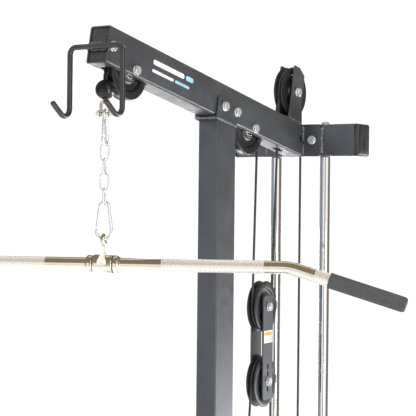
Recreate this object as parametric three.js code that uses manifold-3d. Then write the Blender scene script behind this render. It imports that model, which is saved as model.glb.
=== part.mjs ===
// Lat pulldown and low row cable tower.
// Millimetres, +X right, +Y towards the weight carriage, +Z up, floor at Z = 0.
import * as THREE from 'three';
import Module from 'manifold-3d';
import { mergeVertices } from 'three/addons/utils/BufferGeometryUtils.js';

const wasm = await Module();
wasm.setup();

// ---- Driving dimensions -------------------------------------------------------------

const GAP = 0.3; // clearance between touching pieces
const TUBE_W = 50; // frame tube, across the machine
const TUBE_H = 75; // frame tube, along the machine or upright
const WALL = 3;
const CORNER = 5;

const TOP = 2000; // top of the crossbeam
const FOOT_FRONT_Y = -600;
const FOOT_REAR_Y = 600;
const FRONT_FOOT_LENGTH = 500;
const REAR_FOOT_LENGTH = 700;

const CROSSBEAM_FRONT_Y = 340;
const CROSSBEAM_DEPTH = 60;
const CROSSBEAM_LENGTH = 316;
const CAP_THICKNESS = 5;
const ROD_X = 66.4;
const ROD_Y = CROSSBEAM_FRONT_Y + CROSSBEAM_DEPTH / 2;
const ROD_RADIUS = 12.5;

const POST_Y = 5.5; // middle of the post
const BOOM_LENGTH = 764;
const BOOM_ANGLE = THREE.MathUtils.degToRad(11.4);

const PULLEY_RADIUS = 58.5;
const PULLEY_RIM = 11; // half thickness at the rim
const HUB_HALF = 12;
const ROUTE_RADIUS = 51; // middle of the cable on a pulley
const CABLE_RADIUS = 2.75;
const FRONT_PULLEY = { along: 669, up: 11.7 }; // from the boom's rear, above its underside
const MID_PULLEY = { along: 211, up: 11 };
const TOP_PULLEY = { y: ROD_Y - ROUTE_RADIUS - 2, z: TOP + 75 };
const LOW_PULLEY = { y: -8, z: 300 };

const BLOCK_Y = 200; // floating pulley block
const BLOCK_YAW = THREE.MathUtils.degToRad(6);
const BLOCK_UPPER_Z = 1578;
const BLOCK_LOWER_Z = 1408;
const BLOCK_PLATE = { width: 51, thickness: 4, inner: 12.5, low: 1366, high: 1604 };

const HANG_Y = -393.5; // the line that the lat bar hangs on
const HANG_YAW = THREE.MathUtils.degToRad(22);
const BALL_RADIUS = 19.8;
const BALL_STANDOFF = 77.3; // stop ball centre to pulley centre
const STRAP = { thickness: 3, width: 14, inner: 7, length: 33 };
const CARABINER = { height: 78, top: 25, bottom: 37, wire: 3.3, gateWire: 2.8 };
const LINK = { length: 37, width: 20, wire: 2 };
const EYE = { ring: 9, wire: 4 };
const EYE_DROP = 47; // eye centre to bar axis

const BAR_RADIUS = 12.7;
const BAR_BEND_AT = 365; // from the middle of the bar
const BAR_REACH = 595; // length of half of the bar
const BAR_DROOP = THREE.MathUtils.degToRad(17);
const GRIP = { radius: 15, length: 152 };
const SLEEVE = { radius: 18.5, length: 40 };
const COLLAR = { radius: 17.5, length: 14 };

const HOOK_BOLT_ALONG = 752.5;
const HOOK = { wire: 5.5, half: 64, y: -424, top: 2110, turn: 14, bottom: 1980 };

const BASE_PLATE = { width: 190, depth: 60, thickness: 10 };
const BUMPER = { radius: 25, height: 45 };
const CARRIAGE = { tube: 20, bore: 13, height: 200, blockHeight: 150, blockDepth: 44 };
const HORN = { radius: 24, reach: 340, flange: 60, flangeThickness: 8, z: 232 };
const FOOT_PLATE = { width: 400, height: 250, thickness: 5, y: -190, tilt: 18, slot: 70 };

const HEX = { across: 17, head: 7, nut: 8 };
const SHANK = 5;

// ---- Finishes -----------------------------------------------------------------------

const FINISHES = {
  frame: { color: 0x47494c, roughness: 0.55, metalness: 0.3 },
  satinBlack: { color: 0x2c2e31, roughness: 0.4, metalness: 0.5 },
  chrome: { color: 0xd9dadb, roughness: 0.12, metalness: 1 },
  nickel: { color: 0xcfc4ae, roughness: 0.2, metalness: 1 },
  zinc: { color: 0xc9ced1, roughness: 0.3, metalness: 0.95 },
  strap: { color: 0x9a8f7c, roughness: 0.45, metalness: 0.8 },
  nylon: { color: 0x17181a, roughness: 0.45, metalness: 0 },
  plastic: { color: 0x101112, roughness: 0.5, metalness: 0 },
  rubber: { color: 0x2a2a2b, roughness: 0.85, metalness: 0 },
  cable: { color: 0x1c1a18, roughness: 0.5, metalness: 0 },
};

// ---- Solids and shapes --------------------------------------------------------------

const solidOf = (geometry) => {
  const plain = geometry.clone();
  plain.deleteAttribute('normal');
  plain.deleteAttribute('uv');
  const merged = mergeVertices(plain);
  const vertProperties = new Float32Array(merged.attributes.position.array);
  const triVerts = new Uint32Array(merged.index.array);
  return new wasm.Manifold(new wasm.Mesh({ numProp: 3, vertProperties, triVerts }));
};

const geometryOf = (solid) => {
  const { vertProperties, triVerts } = solid.getMesh();
  const geometry = new THREE.BufferGeometry();
  geometry.setAttribute('position', new THREE.BufferAttribute(vertProperties, 3));
  geometry.setIndex(new THREE.BufferAttribute(triVerts, 1));
  return geometry;
};

const join = (first, ...others) => geometryOf(
  others.reduce((sum, other) => sum.add(solidOf(other)), solidOf(first)),
);

const cut = (body, ...tools) => geometryOf(
  tools.reduce((rest, tool) => rest.subtract(solidOf(tool)), solidOf(body)),
);

const block = (width, depth, height, x = 0, y = 0, z = 0) => (
  new THREE.BoxGeometry(width, depth, height).translate(x, y, z)
);

// A solid round bar centred on the origin along 'x', 'y' or 'z'.
const round = (radius, length, axis, sides = 16) => {
  const bar = new THREE.CylinderGeometry(radius, radius, length, sides);
  if (axis === 'x') bar.rotateZ(Math.PI / 2);
  if (axis === 'z') bar.rotateX(Math.PI / 2);
  return bar;
};

// A profile of [radius, height] pairs turned about Z.
const turned = (profile, sides) => {
  const points = profile.map(([radius, height]) => new THREE.Vector2(radius, height));
  return new THREE.LatheGeometry(points, sides).rotateX(Math.PI / 2);
};

const roundedRectangle = (target, width, height, radius) => {
  const x = width / 2 - radius;
  const y = height / 2 - radius;
  target.absarc(x, y, radius, 0, Math.PI / 2);
  target.absarc(-x, y, radius, Math.PI / 2, Math.PI);
  target.absarc(-x, -y, radius, Math.PI, Math.PI * 1.5);
  target.absarc(x, -y, radius, Math.PI * 1.5, Math.PI * 2);
  return target;
};

const prism = (shape, depth, curveSegments = 2) => (
  new THREE.ExtrudeGeometry(shape, { depth, curveSegments, bevelEnabled: false })
);

// Rectangular steel tube along +Z from the origin, open at both ends.
const tube = (width, height, length) => {
  const shape = roundedRectangle(new THREE.Shape(), width, height, CORNER);
  const inner = [width - 2 * WALL, height - 2 * WALL, CORNER - WALL];
  shape.holes.push(roundedRectangle(new THREE.Path(), ...inner));
  return prism(shape, length);
};

// A sweep of a round section through listed points, one ring at each point.
class Route extends THREE.Curve {
  constructor(points) {
    super();
    this.points = points;
  }

  getPoint(t, target = new THREE.Vector3()) {
    const place = t * (this.points.length - 1);
    const index = Math.min(Math.floor(place), this.points.length - 2);
    return target.lerpVectors(this.points[index], this.points[index + 1], place - index);
  }

  getPointAt(t, target) {
    return this.getPoint(t, target);
  }

  getTangentAt(t, target) {
    return this.getTangent(t, target);
  }
}

const circle = (radius, sides) => {
  const corners = Array.from({ length: sides }, (_, side) => {
    const angle = (side / sides) * Math.PI * 2;
    return new THREE.Vector2(radius * Math.cos(angle), radius * Math.sin(angle));
  });
  return new THREE.Shape(corners);
};

const sweep = (points, radius, sides = 8) => new THREE.ExtrudeGeometry(circle(radius, sides), {
  steps: points.length - 1,
  extrudePath: new Route(points),
});

// Points of an arc in a plane that holds Z: `across` is the plane's level direction.
const arc = (centre, radius, from, to, steps, across) => (
  Array.from({ length: steps + 1 }, (_, step) => {
    const angle = THREE.MathUtils.degToRad(from + ((to - from) * step) / steps);
    return new THREE.Vector3(0, 0, radius * Math.sin(angle))
      .addScaledVector(across, radius * Math.cos(angle))
      .add(centre);
  })
);

const root = new THREE.Group();

const piece = (parent, name, geometry, finish) => {
  const mesh = new THREE.Mesh(geometry, new THREE.MeshStandardMaterial(FINISHES[finish]));
  mesh.name = name;
  parent.add(mesh);
  return mesh;
};

const groupAt = (x, y, z, turn = {}) => {
  const group = new THREE.Group();
  group.position.set(x, y, z);
  group.rotation.set(turn.x ?? 0, turn.y ?? 0, turn.z ?? 0);
  root.add(group);
  return group;
};

// Hexagon bolt along X: head on the +X side at `grip`, nut on the -X side.
const hexBolt = (grip, across = HEX.across, shank = SHANK, head = HEX.head, nut = HEX.nut) => {
  const corner = across / Math.sqrt(3);
  return join(
    round(shank, 2 * grip + head + nut, 'x', 12).translate((head - nut) / 2, 0, 0),
    round(corner, head, 'x', 6).translate(grip + GAP + head / 2, 0, 0),
    round(corner, nut, 'x', 6).translate(-grip - GAP - nut / 2, 0, 0),
  );
};

const pulley = () => {
  const half = [
    [SHANK + GAP, HUB_HALF], [17, HUB_HALF], [17, 6], [40, 6], [42, PULLEY_RIM],
    [PULLEY_RADIUS, PULLEY_RIM], [PULLEY_RADIUS, 8], [ROUTE_RADIUS - 3.7, 3.6],
  ];
  const mirrored = half.map(([radius, side]) => [radius, -side]).reverse();
  return turned([...half, ...mirrored, half[0]].reverse(), 20).rotateY(Math.PI / 2);
};

// ---- Base ---------------------------------------------------------------------------

const BASE_LENGTH = FOOT_REAR_Y - FOOT_FRONT_Y - TUBE_W;

const anchorTab = () => {
  const tab = block(6, 30, 42, 0, anchorY, TUBE_H + 20);
  return cut(tab, round(5, 20, 'x', 12).translate(0, anchorY, TUBE_H + 28));
};

const addBase = () => {
  const rail = tube(TUBE_W, TUBE_H, BASE_LENGTH - 2 * GAP)
    .translate(0, 0, GAP - BASE_LENGTH / 2)
    .rotateX(-Math.PI / 2)
    .translate(0, 0, TUBE_H / 2);
  piece(root, 'base_rail', join(rail, anchorTab()), 'frame');
  const feet = [
    ['front_foot', FOOT_FRONT_Y, FRONT_FOOT_LENGTH],
    ['rear_foot', FOOT_REAR_Y, REAR_FOOT_LENGTH],
  ];
  for (const [name, y, length] of feet) {
    const foot = tube(TUBE_H, TUBE_W, length).translate(0, 0, -length / 2).rotateY(Math.PI / 2);
    piece(root, name, foot, 'frame').position.set(0, y, TUBE_H / 2);
  }
};

const addFootPlate = () => {
  const { width, height, thickness, y, tilt, slot } = FOOT_PLATE;
  const lean = THREE.MathUtils.degToRad(tilt);
  const plate = cut(
    block(width, thickness, height, 0, 0, height / 2),
    block(slot, thickness * 2, height, 0, 0, height / 2 + 80),
  ).rotateX(-lean);
  const rib = new THREE.Shape([
    new THREE.Vector2(-1, 2), new THREE.Vector2(92, 2), new THREE.Vector2(24, 76),
  ]);
  const web = prism(rib, 8).translate(0, 0, -4).rotateX(Math.PI / 2).rotateZ(Math.PI / 2);
  const base = block(120, 100, 5, 0, 44, 2.5);
  piece(root, 'foot_plate', join(plate, web, base), 'frame').position.set(0, y, TUBE_H + 3 * GAP);
};

// ---- Upright frame ------------------------------------------------------------------

const boomPoint = (along, up) => ({
  y: CROSSBEAM_FRONT_Y - along * Math.cos(BOOM_ANGLE) + (up - TUBE_H) * Math.sin(BOOM_ANGLE),
  z: TOP + along * Math.sin(BOOM_ANGLE) + (up - TUBE_H) * Math.cos(BOOM_ANGLE),
});

const boomGroup = groupAt(0, CROSSBEAM_FRONT_Y, TOP, { x: -BOOM_ANGLE });

const SADDLE = { rear: 290, front: 373, under: 4, height: 43, thickness: 3, boltUp: 25.5 };
const SADDLE_BOLTS = { rear: 298.5, front: 347.5 };

// Saddle in the boom's own frame: a base plate and two ears, welded to the post.
const saddle = () => {
  const { rear, front, under, height, thickness } = SADDLE;
  const outline = roundedRectangle(new THREE.Shape(), front - rear, height + under, 6);
  const middle = -(front + rear) / 2;
  const inner = TUBE_W / 2 + GAP;
  const ear = (x) => prism(outline, thickness)
    .rotateX(Math.PI / 2).rotateZ(Math.PI / 2)
    .translate(x, middle, (height - under) / 2 - TUBE_H);
  const base = block(2 * inner + 1, front - rear, 3, 0, middle, -TUBE_H - under + 2);
  const holes = Object.values(SADDLE_BOLTS).map((along) => (
    round(SHANK + GAP, 80, 'x').translate(0, -along, SADDLE.boltUp - TUBE_H)
  ));
  return cut(join(ear(inner), ear(-inner - thickness), base), ...holes)
    .rotateX(-BOOM_ANGLE).translate(0, CROSSBEAM_FRONT_Y, TOP);
};

const addPost = () => {
  const foot = TUBE_H + GAP;
  const upright = tube(TUBE_W, TUBE_H, TOP - foot).translate(0, POST_Y, foot);
  const above = block(200, 400, 200, 0, -330, 100 - TUBE_H - SADDLE.under + 1)
    .rotateX(-BOOM_ANGLE).translate(0, CROSSBEAM_FRONT_Y, TOP);
  const slot = block(30, 200, 136, 0, POST_Y, LOW_PULLEY.z);
  const boltHole = round(SHANK + GAP, 80, 'x').translate(0, LOW_PULLEY.y, LOW_PULLEY.z);
  piece(root, 'post', join(cut(upright, above, slot, boltHole), saddle()), 'frame');
};

const FLANGE = { half: 71, thickness: 5, boltX: 50, boltDown: 37 };

const addBoom = () => {
  const rear = 30;
  const shell = tube(TUBE_W, TUBE_H, BOOM_LENGTH + rear)
    .rotateX(Math.PI / 2).translate(0, rear, -TUBE_H / 2);
  const upright = (geometry) => geometry.rotateX(BOOM_ANGLE);
  const trim = upright(block(200, 100, 300, 0, 50 - FLANGE.thickness / 2, 0));
  const slotAt = (middle, length) => block(28, length, 12, 0, -middle, -TUBE_H);
  const ovalAt = (middle, z) => block(15, 34, 12, 0, -middle, z);
  const boltAt = (along, up, radius = SHANK + GAP) => (
    round(radius, 80, 'x').translate(0, -along, up - TUBE_H)
  );
  const body = cut(
    shell, trim, slotAt(672.5, 127), slotAt(MID_PULLEY.along, 124), ovalAt(64, -TUBE_H),
    ovalAt(80, 0), boltAt(FRONT_PULLEY.along, FRONT_PULLEY.up),
    boltAt(MID_PULLEY.along, MID_PULLEY.up), boltAt(HOOK_BOLT_ALONG, 36),
    boltAt(SADDLE_BOLTS.rear, SADDLE.boltUp), boltAt(SADDLE_BOLTS.front, SADDLE.boltUp),
    boltAt(5, 40, 7),
  );
  const plate = cut(
    block(2 * FLANGE.half, FLANGE.thickness, TUBE_H, 0, -FLANGE.thickness / 2 - GAP, -TUBE_H / 2),
    ...[-FLANGE.boltX, FLANGE.boltX].map((x) => (
      round(SHANK + GAP, 20, 'y').translate(x, 0, -FLANGE.boltDown)
    )),
  );
  piece(boomGroup, 'boom', join(body, upright(plate)), 'frame');
};

const addCrossbeam = () => {
  const beam = tube(TUBE_H, CROSSBEAM_DEPTH, CROSSBEAM_LENGTH)
    .translate(0, 0, -CROSSBEAM_LENGTH / 2).rotateY(Math.PI / 2);
  const drilled = cut(
    beam,
    round(8, 100, 'z'),
    ...[-1, 1].map((side) => round(SHANK + 1, 100, 'z').translate(side * ROD_X, 0, 0)),
    ...[-1, 1].map((side) => round(SHANK + GAP, 100, 'y')
      .translate(side * FLANGE.boltX, 0, TUBE_H / 2 - FLANGE.boltDown)),
  );
  piece(root, 'crossbeam', drilled, 'frame').position.set(0, ROD_Y, TOP - TUBE_H / 2);
  for (const [name, side] of [['crossbeam_cap_left', -1], ['crossbeam_cap_right', 1]]) {
    const face = roundedRectangle(new THREE.Shape(), TUBE_H, CROSSBEAM_DEPTH, CORNER);
    const start = side > 0 ? CROSSBEAM_LENGTH / 2 + GAP : -CROSSBEAM_LENGTH / 2 - GAP - CAP_THICKNESS;
    const cap = prism(face, CAP_THICKNESS).translate(0, 0, start).rotateY(Math.PI / 2);
    piece(root, name, cap, 'plastic').position.set(0, ROD_Y, TOP - TUBE_H / 2);
  }
};

const BRACKET = { width: 49, inner: 16, thickness: 4, above: 59, base: 6 };
const BRACKET_CHAMFER = { along: 25, up: 13 };

// Cheeks and base plate in the top pulley's own frame, square to the boom.
const addTopBracket = () => {
  const { width, inner, thickness, above, base } = BRACKET;
  const { along, up } = BRACKET_CHAMFER;
  const rise = (TOP_PULLEY.z - TOP) * Math.cos(BOOM_ANGLE)
    - (CROSSBEAM_FRONT_Y - TOP_PULLEY.y) * Math.sin(BOOM_ANGLE);
  const low = GAP - rise;
  const side = new THREE.Shape([
    [-width / 2, low], [width / 2, low], [width / 2, above - up],
    [width / 2 - along, above], [-width / 2, above],
  ].map(([y, z]) => new THREE.Vector2(y, z)));
  const cheek = (x) => prism(side, thickness)
    .rotateX(Math.PI / 2).rotateZ(Math.PI / 2).translate(x, 0, 0);
  const floor = block(2 * inner + 2, width, base, 0, 0, low + base / 2);
  const whole = join(cheek(inner), cheek(-inner - thickness), floor);
  const bracket = cut(whole, round(SHANK + GAP, 80, 'x')).rotateX(-BOOM_ANGLE);
  piece(root, 'top_pulley_bracket', bracket, 'frame')
    .position.set(0, TOP_PULLEY.y, TOP_PULLEY.z);
};

const ROD_FOOT = TUBE_H + GAP + BASE_PLATE.thickness;
const ROD_TOP = TOP - TUBE_H - GAP;

const addRods = () => {
  const { width, depth, thickness } = BASE_PLATE;
  piece(root, 'rod_base_plate', block(width, depth, thickness), 'frame')
    .position.set(0, ROD_Y, TUBE_H + GAP + thickness / 2);
  const foot = ROD_FOOT + GAP;
  const hole = SHANK + GAP;
  const rod = () => turned([
    [0, foot], [ROD_RADIUS, foot], [ROD_RADIUS, ROD_TOP],
    [hole, ROD_TOP], [hole, ROD_TOP - 40], [0, ROD_TOP - 40],
  ], 20);
  const bolt = () => join(
    round(SHANK, TUBE_H + 30, 'z', 12).translate(0, 0, TOP - TUBE_H / 2 - 13),
    turned([[0, 0], [11, 0], [11, 2], [8, 6], [0, 8]], 16).translate(0, 0, TOP + GAP),
  );
  const bumper = () => turned([
    [ROD_RADIUS + 0.6, 0], [BUMPER.radius, 0], [BUMPER.radius, BUMPER.height - 5],
    [BUMPER.radius - 5, BUMPER.height], [ROD_RADIUS + 0.6, BUMPER.height], [ROD_RADIUS + 0.6, 0],
  ], 20);
  for (const [side, x] of [['left', -ROD_X], ['right', ROD_X]]) {
    piece(root, `guide_rod_${side}`, rod(), 'chrome').position.set(x, ROD_Y, 0);
    piece(root, `rod_bolt_${side}`, bolt(), 'zinc').position.set(x, ROD_Y, 0);
    piece(root, `bumper_${side}`, bumper(), 'rubber').position.set(x, ROD_Y, ROD_FOOT + GAP);
  }
};

// ---- Bar hook -----------------------------------------------------------------------

const hookWire = () => {
  const { half, y, top, turn, bottom } = HOOK;
  const across = new THREE.Vector3(1, 0, 0);
  const forward = new THREE.Vector3(0, 1, 0);
  const corner = new THREE.Vector3(half - turn, y, top - turn);
  const bend = new THREE.Vector3(half, y - 16, bottom + 12);
  const rise = THREE.MathUtils.degToRad(38);
  const tip = new THREE.Vector3(0, -Math.cos(rise), Math.sin(rise)).multiplyScalar(36);
  const lower = arc(bend, 16, 0, -128, 6, forward);
  const rightHalf = [
    new THREE.Vector3(0, y, top),
    ...arc(corner, turn, 90, 0, 4, across),
    ...lower,
    lower[lower.length - 1].clone().add(tip),
  ];
  const leftHalf = rightHalf.slice(1).reverse().map((p) => new THREE.Vector3(-p.x, p.y, p.z));
  return sweep([...leftHalf, ...rightHalf], HOOK.wire, 10);
};

const addBarHook = () => {
  const depth = 26;
  const face = [TUBE_W - 2 * WALL - 1, TUBE_H - 2 * WALL - 1, CORNER - WALL + 1];
  const plug = cut(
    prism(roundedRectangle(new THREE.Shape(), ...face), depth)
      .rotateX(Math.PI / 2).translate(0, depth - BOOM_LENGTH, -TUBE_H / 2),
    round(SHANK + GAP, 80, 'x').translate(0, -HOOK_BOLT_ALONG, 36 - TUBE_H),
  ).rotateX(-BOOM_ANGLE).translate(0, CROSSBEAM_FRONT_Y, TOP);
  const weld = block(34, 10, 9, 0, HOOK.y + 5, HOOK.top);
  piece(root, 'bar_hook', join(plug, hookWire(), weld), 'satinBlack');
};

// ---- Pulleys and bolts of the frame -------------------------------------------------

const addFramePulleys = () => {
  const frontAt = boomPoint(FRONT_PULLEY.along, FRONT_PULLEY.up);
  const midAt = boomPoint(MID_PULLEY.along, MID_PULLEY.up);
  const places = [
    ['front', frontAt, TUBE_W / 2], ['mid', midAt, TUBE_W / 2],
    ['top', TOP_PULLEY, BRACKET.inner + BRACKET.thickness], ['low', LOW_PULLEY, TUBE_W / 2],
  ];
  for (const [name, { y, z }, grip] of places) {
    const holder = groupAt(0, y, z);
    piece(holder, `${name}_pulley`, pulley(), 'nylon');
    piece(holder, `${name}_pulley_bolt`, hexBolt(grip), 'zinc');
  }
};

const addFrameBolts = () => {
  const ears = TUBE_W / 2 + GAP + SADDLE.thickness;
  const inBoom = [
    ['saddle_bolt_front', SADDLE_BOLTS.front, SADDLE.boltUp, ears],
    ['saddle_bolt_rear', SADDLE_BOLTS.rear, SADDLE.boltUp, ears],
    ['hook_bolt', HOOK_BOLT_ALONG, 36, TUBE_W / 2],
  ];
  for (const [name, along, up, grip] of inBoom) {
    piece(boomGroup, name, hexBolt(grip), 'zinc').position.set(0, -along, up - TUBE_H);
  }
  const depth = CROSSBEAM_DEPTH + FLANGE.thickness + GAP;
  for (const [name, x] of [['flange_bolt_left', -FLANGE.boltX], ['flange_bolt_right', FLANGE.boltX]]) {
    const bolt = piece(root, name, hexBolt(depth / 2), 'zinc');
    bolt.rotation.z = -Math.PI / 2;
    bolt.position.set(x, ROD_Y - (FLANGE.thickness + GAP) / 2, TOP - FLANGE.boltDown);
  }
};

// ---- Floating pulley block ----------------------------------------------------------

const addFloatingBlock = () => {
  const { width, thickness, inner, low, high } = BLOCK_PLATE;
  const holder = groupAt(0, BLOCK_Y, 0, { z: BLOCK_YAW });
  const outline = new THREE.Shape([
    [-width / 2, low + 6], [6 - width / 2, low], [width / 2 - 6, low], [width / 2, low + 6],
    [width / 2, high - 6], [width / 2 - 6, high], [6 - width / 2, high], [-width / 2, high - 6],
  ].map(([y, z]) => new THREE.Vector2(y, z)));
  const holeAt = (z, radius) => round(radius, 80, 'x', 12).translate(0, 0, z);
  const spare = [17, 34, -17].map((offset) => block(80, 7, 12, 0, 0, BLOCK_LOWER_Z + offset));
  for (const [side, x] of [['left', -inner - thickness], ['right', inner]]) {
    const plate = cut(
      prism(outline, thickness).rotateX(Math.PI / 2).rotateZ(Math.PI / 2).translate(x, 0, 0),
      holeAt(BLOCK_UPPER_Z, SHANK + GAP), holeAt(BLOCK_LOWER_Z, SHANK + GAP), ...spare,
    );
    piece(holder, `floater_plate_${side}`, plate, 'frame');
  }
  for (const [name, z] of [['upper', BLOCK_UPPER_Z], ['lower', BLOCK_LOWER_Z]]) {
    piece(holder, `floater_${name}_pulley`, pulley(), 'nylon').position.z = z;
    piece(holder, `floater_${name}_bolt`, hexBolt(inner + thickness), 'zinc').position.z = z;
  }
};

// ---- Stop balls, straps, carabiners and chain ---------------------------------------

const ball = () => new THREE.SphereGeometry(BALL_RADIUS, 18, 12);

// Strap clevis hanging down from the origin, its bolt along X.
const strap = () => {
  const { thickness, width, inner, length } = STRAP;
  const outer = inner + thickness;
  const shape = new THREE.Shape();
  shape.moveTo(outer, -length);
  shape.lineTo(outer, -outer);
  shape.absarc(0, -outer, outer, 0, Math.PI);
  shape.lineTo(-outer, -length);
  shape.lineTo(-inner, -length);
  shape.lineTo(-inner, -outer);
  shape.absarc(0, -outer, inner, Math.PI, 0, true);
  shape.lineTo(inner, -length);
  const bent = prism(shape, width, 6).rotateX(Math.PI / 2).translate(0, width / 2, 0);
  return cut(bent, round(4 + GAP, 60, 'x', 12).translate(0, 0, 6 - length));
};

const strapBolt = () => hexBolt(STRAP.inner + STRAP.thickness, 13, 4, 5.5, 6);

// Pear outline in the X-Z plane: side lines touch a small top arc and a big bottom arc.
const carabinerLayout = () => {
  const { height, top, bottom, wire } = CARABINER;
  const topRadius = top / 2 - wire;
  const bottomRadius = bottom / 2 - wire;
  const topZ = height / 2 - wire - topRadius;
  const bottomZ = bottomRadius + wire - height / 2;
  const slope = Math.asin((bottomRadius - topRadius) / (topZ - bottomZ));
  const side = (radius, z) => new THREE.Vector3(
    -radius * Math.cos(slope), 0, z + radius * Math.sin(slope),
  );
  return {
    topRadius, bottomRadius, topZ, bottomZ, slope,
    nose: side(topRadius, topZ), heel: side(bottomRadius, bottomZ),
  };
};

const carabinerBody = () => {
  const { topRadius, bottomRadius, topZ, bottomZ, slope, nose, heel } = carabinerLayout();
  const across = new THREE.Vector3(1, 0, 0);
  const tilt = THREE.MathUtils.radToDeg(slope);
  const gateSide = nose.clone().sub(heel);
  return sweep([
    nose.clone().addScaledVector(gateSide, -0.02),
    ...arc(new THREE.Vector3(0, 0, topZ), topRadius, 180 - tilt, tilt, 8, across),
    ...arc(new THREE.Vector3(0, 0, bottomZ), bottomRadius, tilt, -180 - tilt, 12, across),
    heel.clone().addScaledVector(gateSide, 0.06),
  ], CARABINER.wire);
};

const carabinerGate = () => {
  const { nose, heel } = carabinerLayout();
  const side = nose.clone().sub(heel);
  const from = heel.clone().addScaledVector(side, 0.085);
  const to = heel.clone().addScaledVector(side, 0.965);
  return sweep([from, to], CARABINER.gateWire);
};

const chainLink = () => {
  const { length, width, wire } = LINK;
  const radius = width / 2 - wire;
  const reach = length / 2 - width / 2;
  const across = new THREE.Vector3(1, 0, 0);
  const overlap = 0.3;
  const half = (sign) => sweep([
    new THREE.Vector3(radius, 0, -sign * overlap),
    ...arc(new THREE.Vector3(0, 0, sign * reach), radius, 0, sign * 180, 6, across),
    new THREE.Vector3(-radius, 0, -sign * overlap),
  ], wire, 6);
  return join(half(1), half(-1));
};

const frontPulleyAt = boomPoint(FRONT_PULLEY.along, FRONT_PULLEY.up);
const ballZ = frontPulleyAt.z
  - Math.sqrt(BALL_STANDOFF ** 2 - (frontPulleyAt.y - HANG_Y) ** 2);
const strapTop = ballZ - BALL_RADIUS - GAP;
const strapBoltZ = strapTop + 6 - STRAP.length;
const clipHalf = CARABINER.height / 2;
const upperClipZ = strapBoltZ + 4 + GAP + 2 * CARABINER.wire - clipHalf;
const clipInner = upperClipZ - clipHalf + 2 * CARABINER.wire;
const linkStep = LINK.length - 4 * LINK.wire - GAP;
const firstLinkZ = clipInner + GAP + 2 * LINK.wire - LINK.length / 2;
const lastLinkZ = firstLinkZ - 3 * linkStep;
const lowerClipZ = lastLinkZ - LINK.length / 2 + 2 * LINK.wire + GAP
  + 2 * CARABINER.wire - clipHalf;
const eyeZ = lowerClipZ - clipHalf + 2 * CARABINER.wire + GAP + EYE.wire - EYE.ring;
const BAR_Z = eyeZ - EYE_DROP;

const addHanger = () => {
  const holder = groupAt(0, HANG_Y, 0, { z: HANG_YAW });
  piece(holder, 'lat_stop_ball', ball(), 'plastic').position.z = ballZ;
  piece(holder, 'lat_shackle', strap(), 'strap').position.z = strapTop;
  piece(holder, 'lat_shackle_bolt', strapBolt(), 'zinc').position.z = strapBoltZ;
  const clips = [['upper_carabiner', upperClipZ, Math.PI / 2], ['lower_carabiner', lowerClipZ, 0]];
  for (const [name, z, turn] of clips) {
    for (const [suffix, geometry] of [['', carabinerBody()], ['_gate', carabinerGate()]]) {
      const part = piece(holder, name + suffix, geometry, 'zinc');
      part.position.z = z;
      part.rotation.z = turn;
    }
  }
  for (let index = 0; index < 4; index += 1) {
    const link = piece(holder, `chain_link_${index + 1}`, chainLink(), 'zinc');
    link.position.z = firstLinkZ - index * linkStep;
    link.rotation.z = index % 2 ? Math.PI / 2 : 0;
  }
};

// ---- Lat bar ------------------------------------------------------------------------

const barEnd = (distance) => {
  const beyond = distance - BAR_BEND_AT;
  return new THREE.Vector3(
    BAR_BEND_AT + beyond * Math.cos(BAR_DROOP), 0, -beyond * Math.sin(BAR_DROOP),
  );
};

const barTube = () => {
  const radius = 90;
  const setback = radius * Math.tan(BAR_DROOP / 2);
  const across = new THREE.Vector3(1, 0, 0);
  const centre = new THREE.Vector3(BAR_BEND_AT - setback, 0, -radius);
  const droop = THREE.MathUtils.radToDeg(BAR_DROOP);
  const right = [...arc(centre, radius, 90, 90 - droop, 4, across), barEnd(BAR_REACH - 4)];
  const left = right.map((point) => new THREE.Vector3(-point.x, 0, point.z)).reverse();
  const bar = sweep([...left, ...right], BAR_RADIUS, 16);
  const collars = [-1, 1].map((side) => round(COLLAR.radius, COLLAR.length, 'x', 20)
    .translate(side * (SLEEVE.length / 2 + GAP + COLLAR.length / 2), 0, 0));
  return join(bar, ...collars);
};

const grip = () => {
  const { radius, length } = GRIP;
  const bore = BAR_RADIUS + GAP;
  return turned([
    [bore, 0], [radius - 1, 0], [radius, 1], [radius, length - 5], [radius - 4, length],
    [0, length], [0, length - 3], [bore, length - 3], [bore, 0],
  ], 16);
};

const barSleeve = () => {
  const barrel = round(SLEEVE.radius, SLEEVE.length, 'x', 20);
  const height = eyeZ - BAR_Z - EYE.ring;
  const neck = turned([
    [0, 14], [15, 14], [11, 22], [7, 29], [5, height + 1], [0, height + 1],
  ], 12);
  const ring = new THREE.TorusGeometry(EYE.ring, EYE.wire, 8, 20)
    .rotateY(Math.PI / 2).translate(0, 0, eyeZ - BAR_Z);
  return cut(join(barrel, neck, ring), round(BAR_RADIUS + 0.6, 60, 'x', 20));
};

const addLatBar = () => {
  const holder = groupAt(0, HANG_Y, BAR_Z, { z: HANG_YAW });
  piece(holder, 'bar_sleeve', barSleeve(), 'nickel');
  piece(holder, 'lat_bar', barTube(), 'nickel');
  for (const [side, sign] of [['left', -1], ['right', 1]]) {
    const start = barEnd(BAR_REACH - GRIP.length);
    const part = piece(holder, `grip_${side}`, grip(), 'rubber');
    part.position.set(sign * start.x, 0, start.z);
    part.rotation.y = sign * (Math.PI / 2 + BAR_DROOP);
  }
};

// ---- Low row end --------------------------------------------------------------------

const rowBallY = LOW_PULLEY.y - Math.sqrt(BALL_STANDOFF ** 2 - ROUTE_RADIUS ** 2);
const rowZ = LOW_PULLEY.z - ROUTE_RADIUS;

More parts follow.
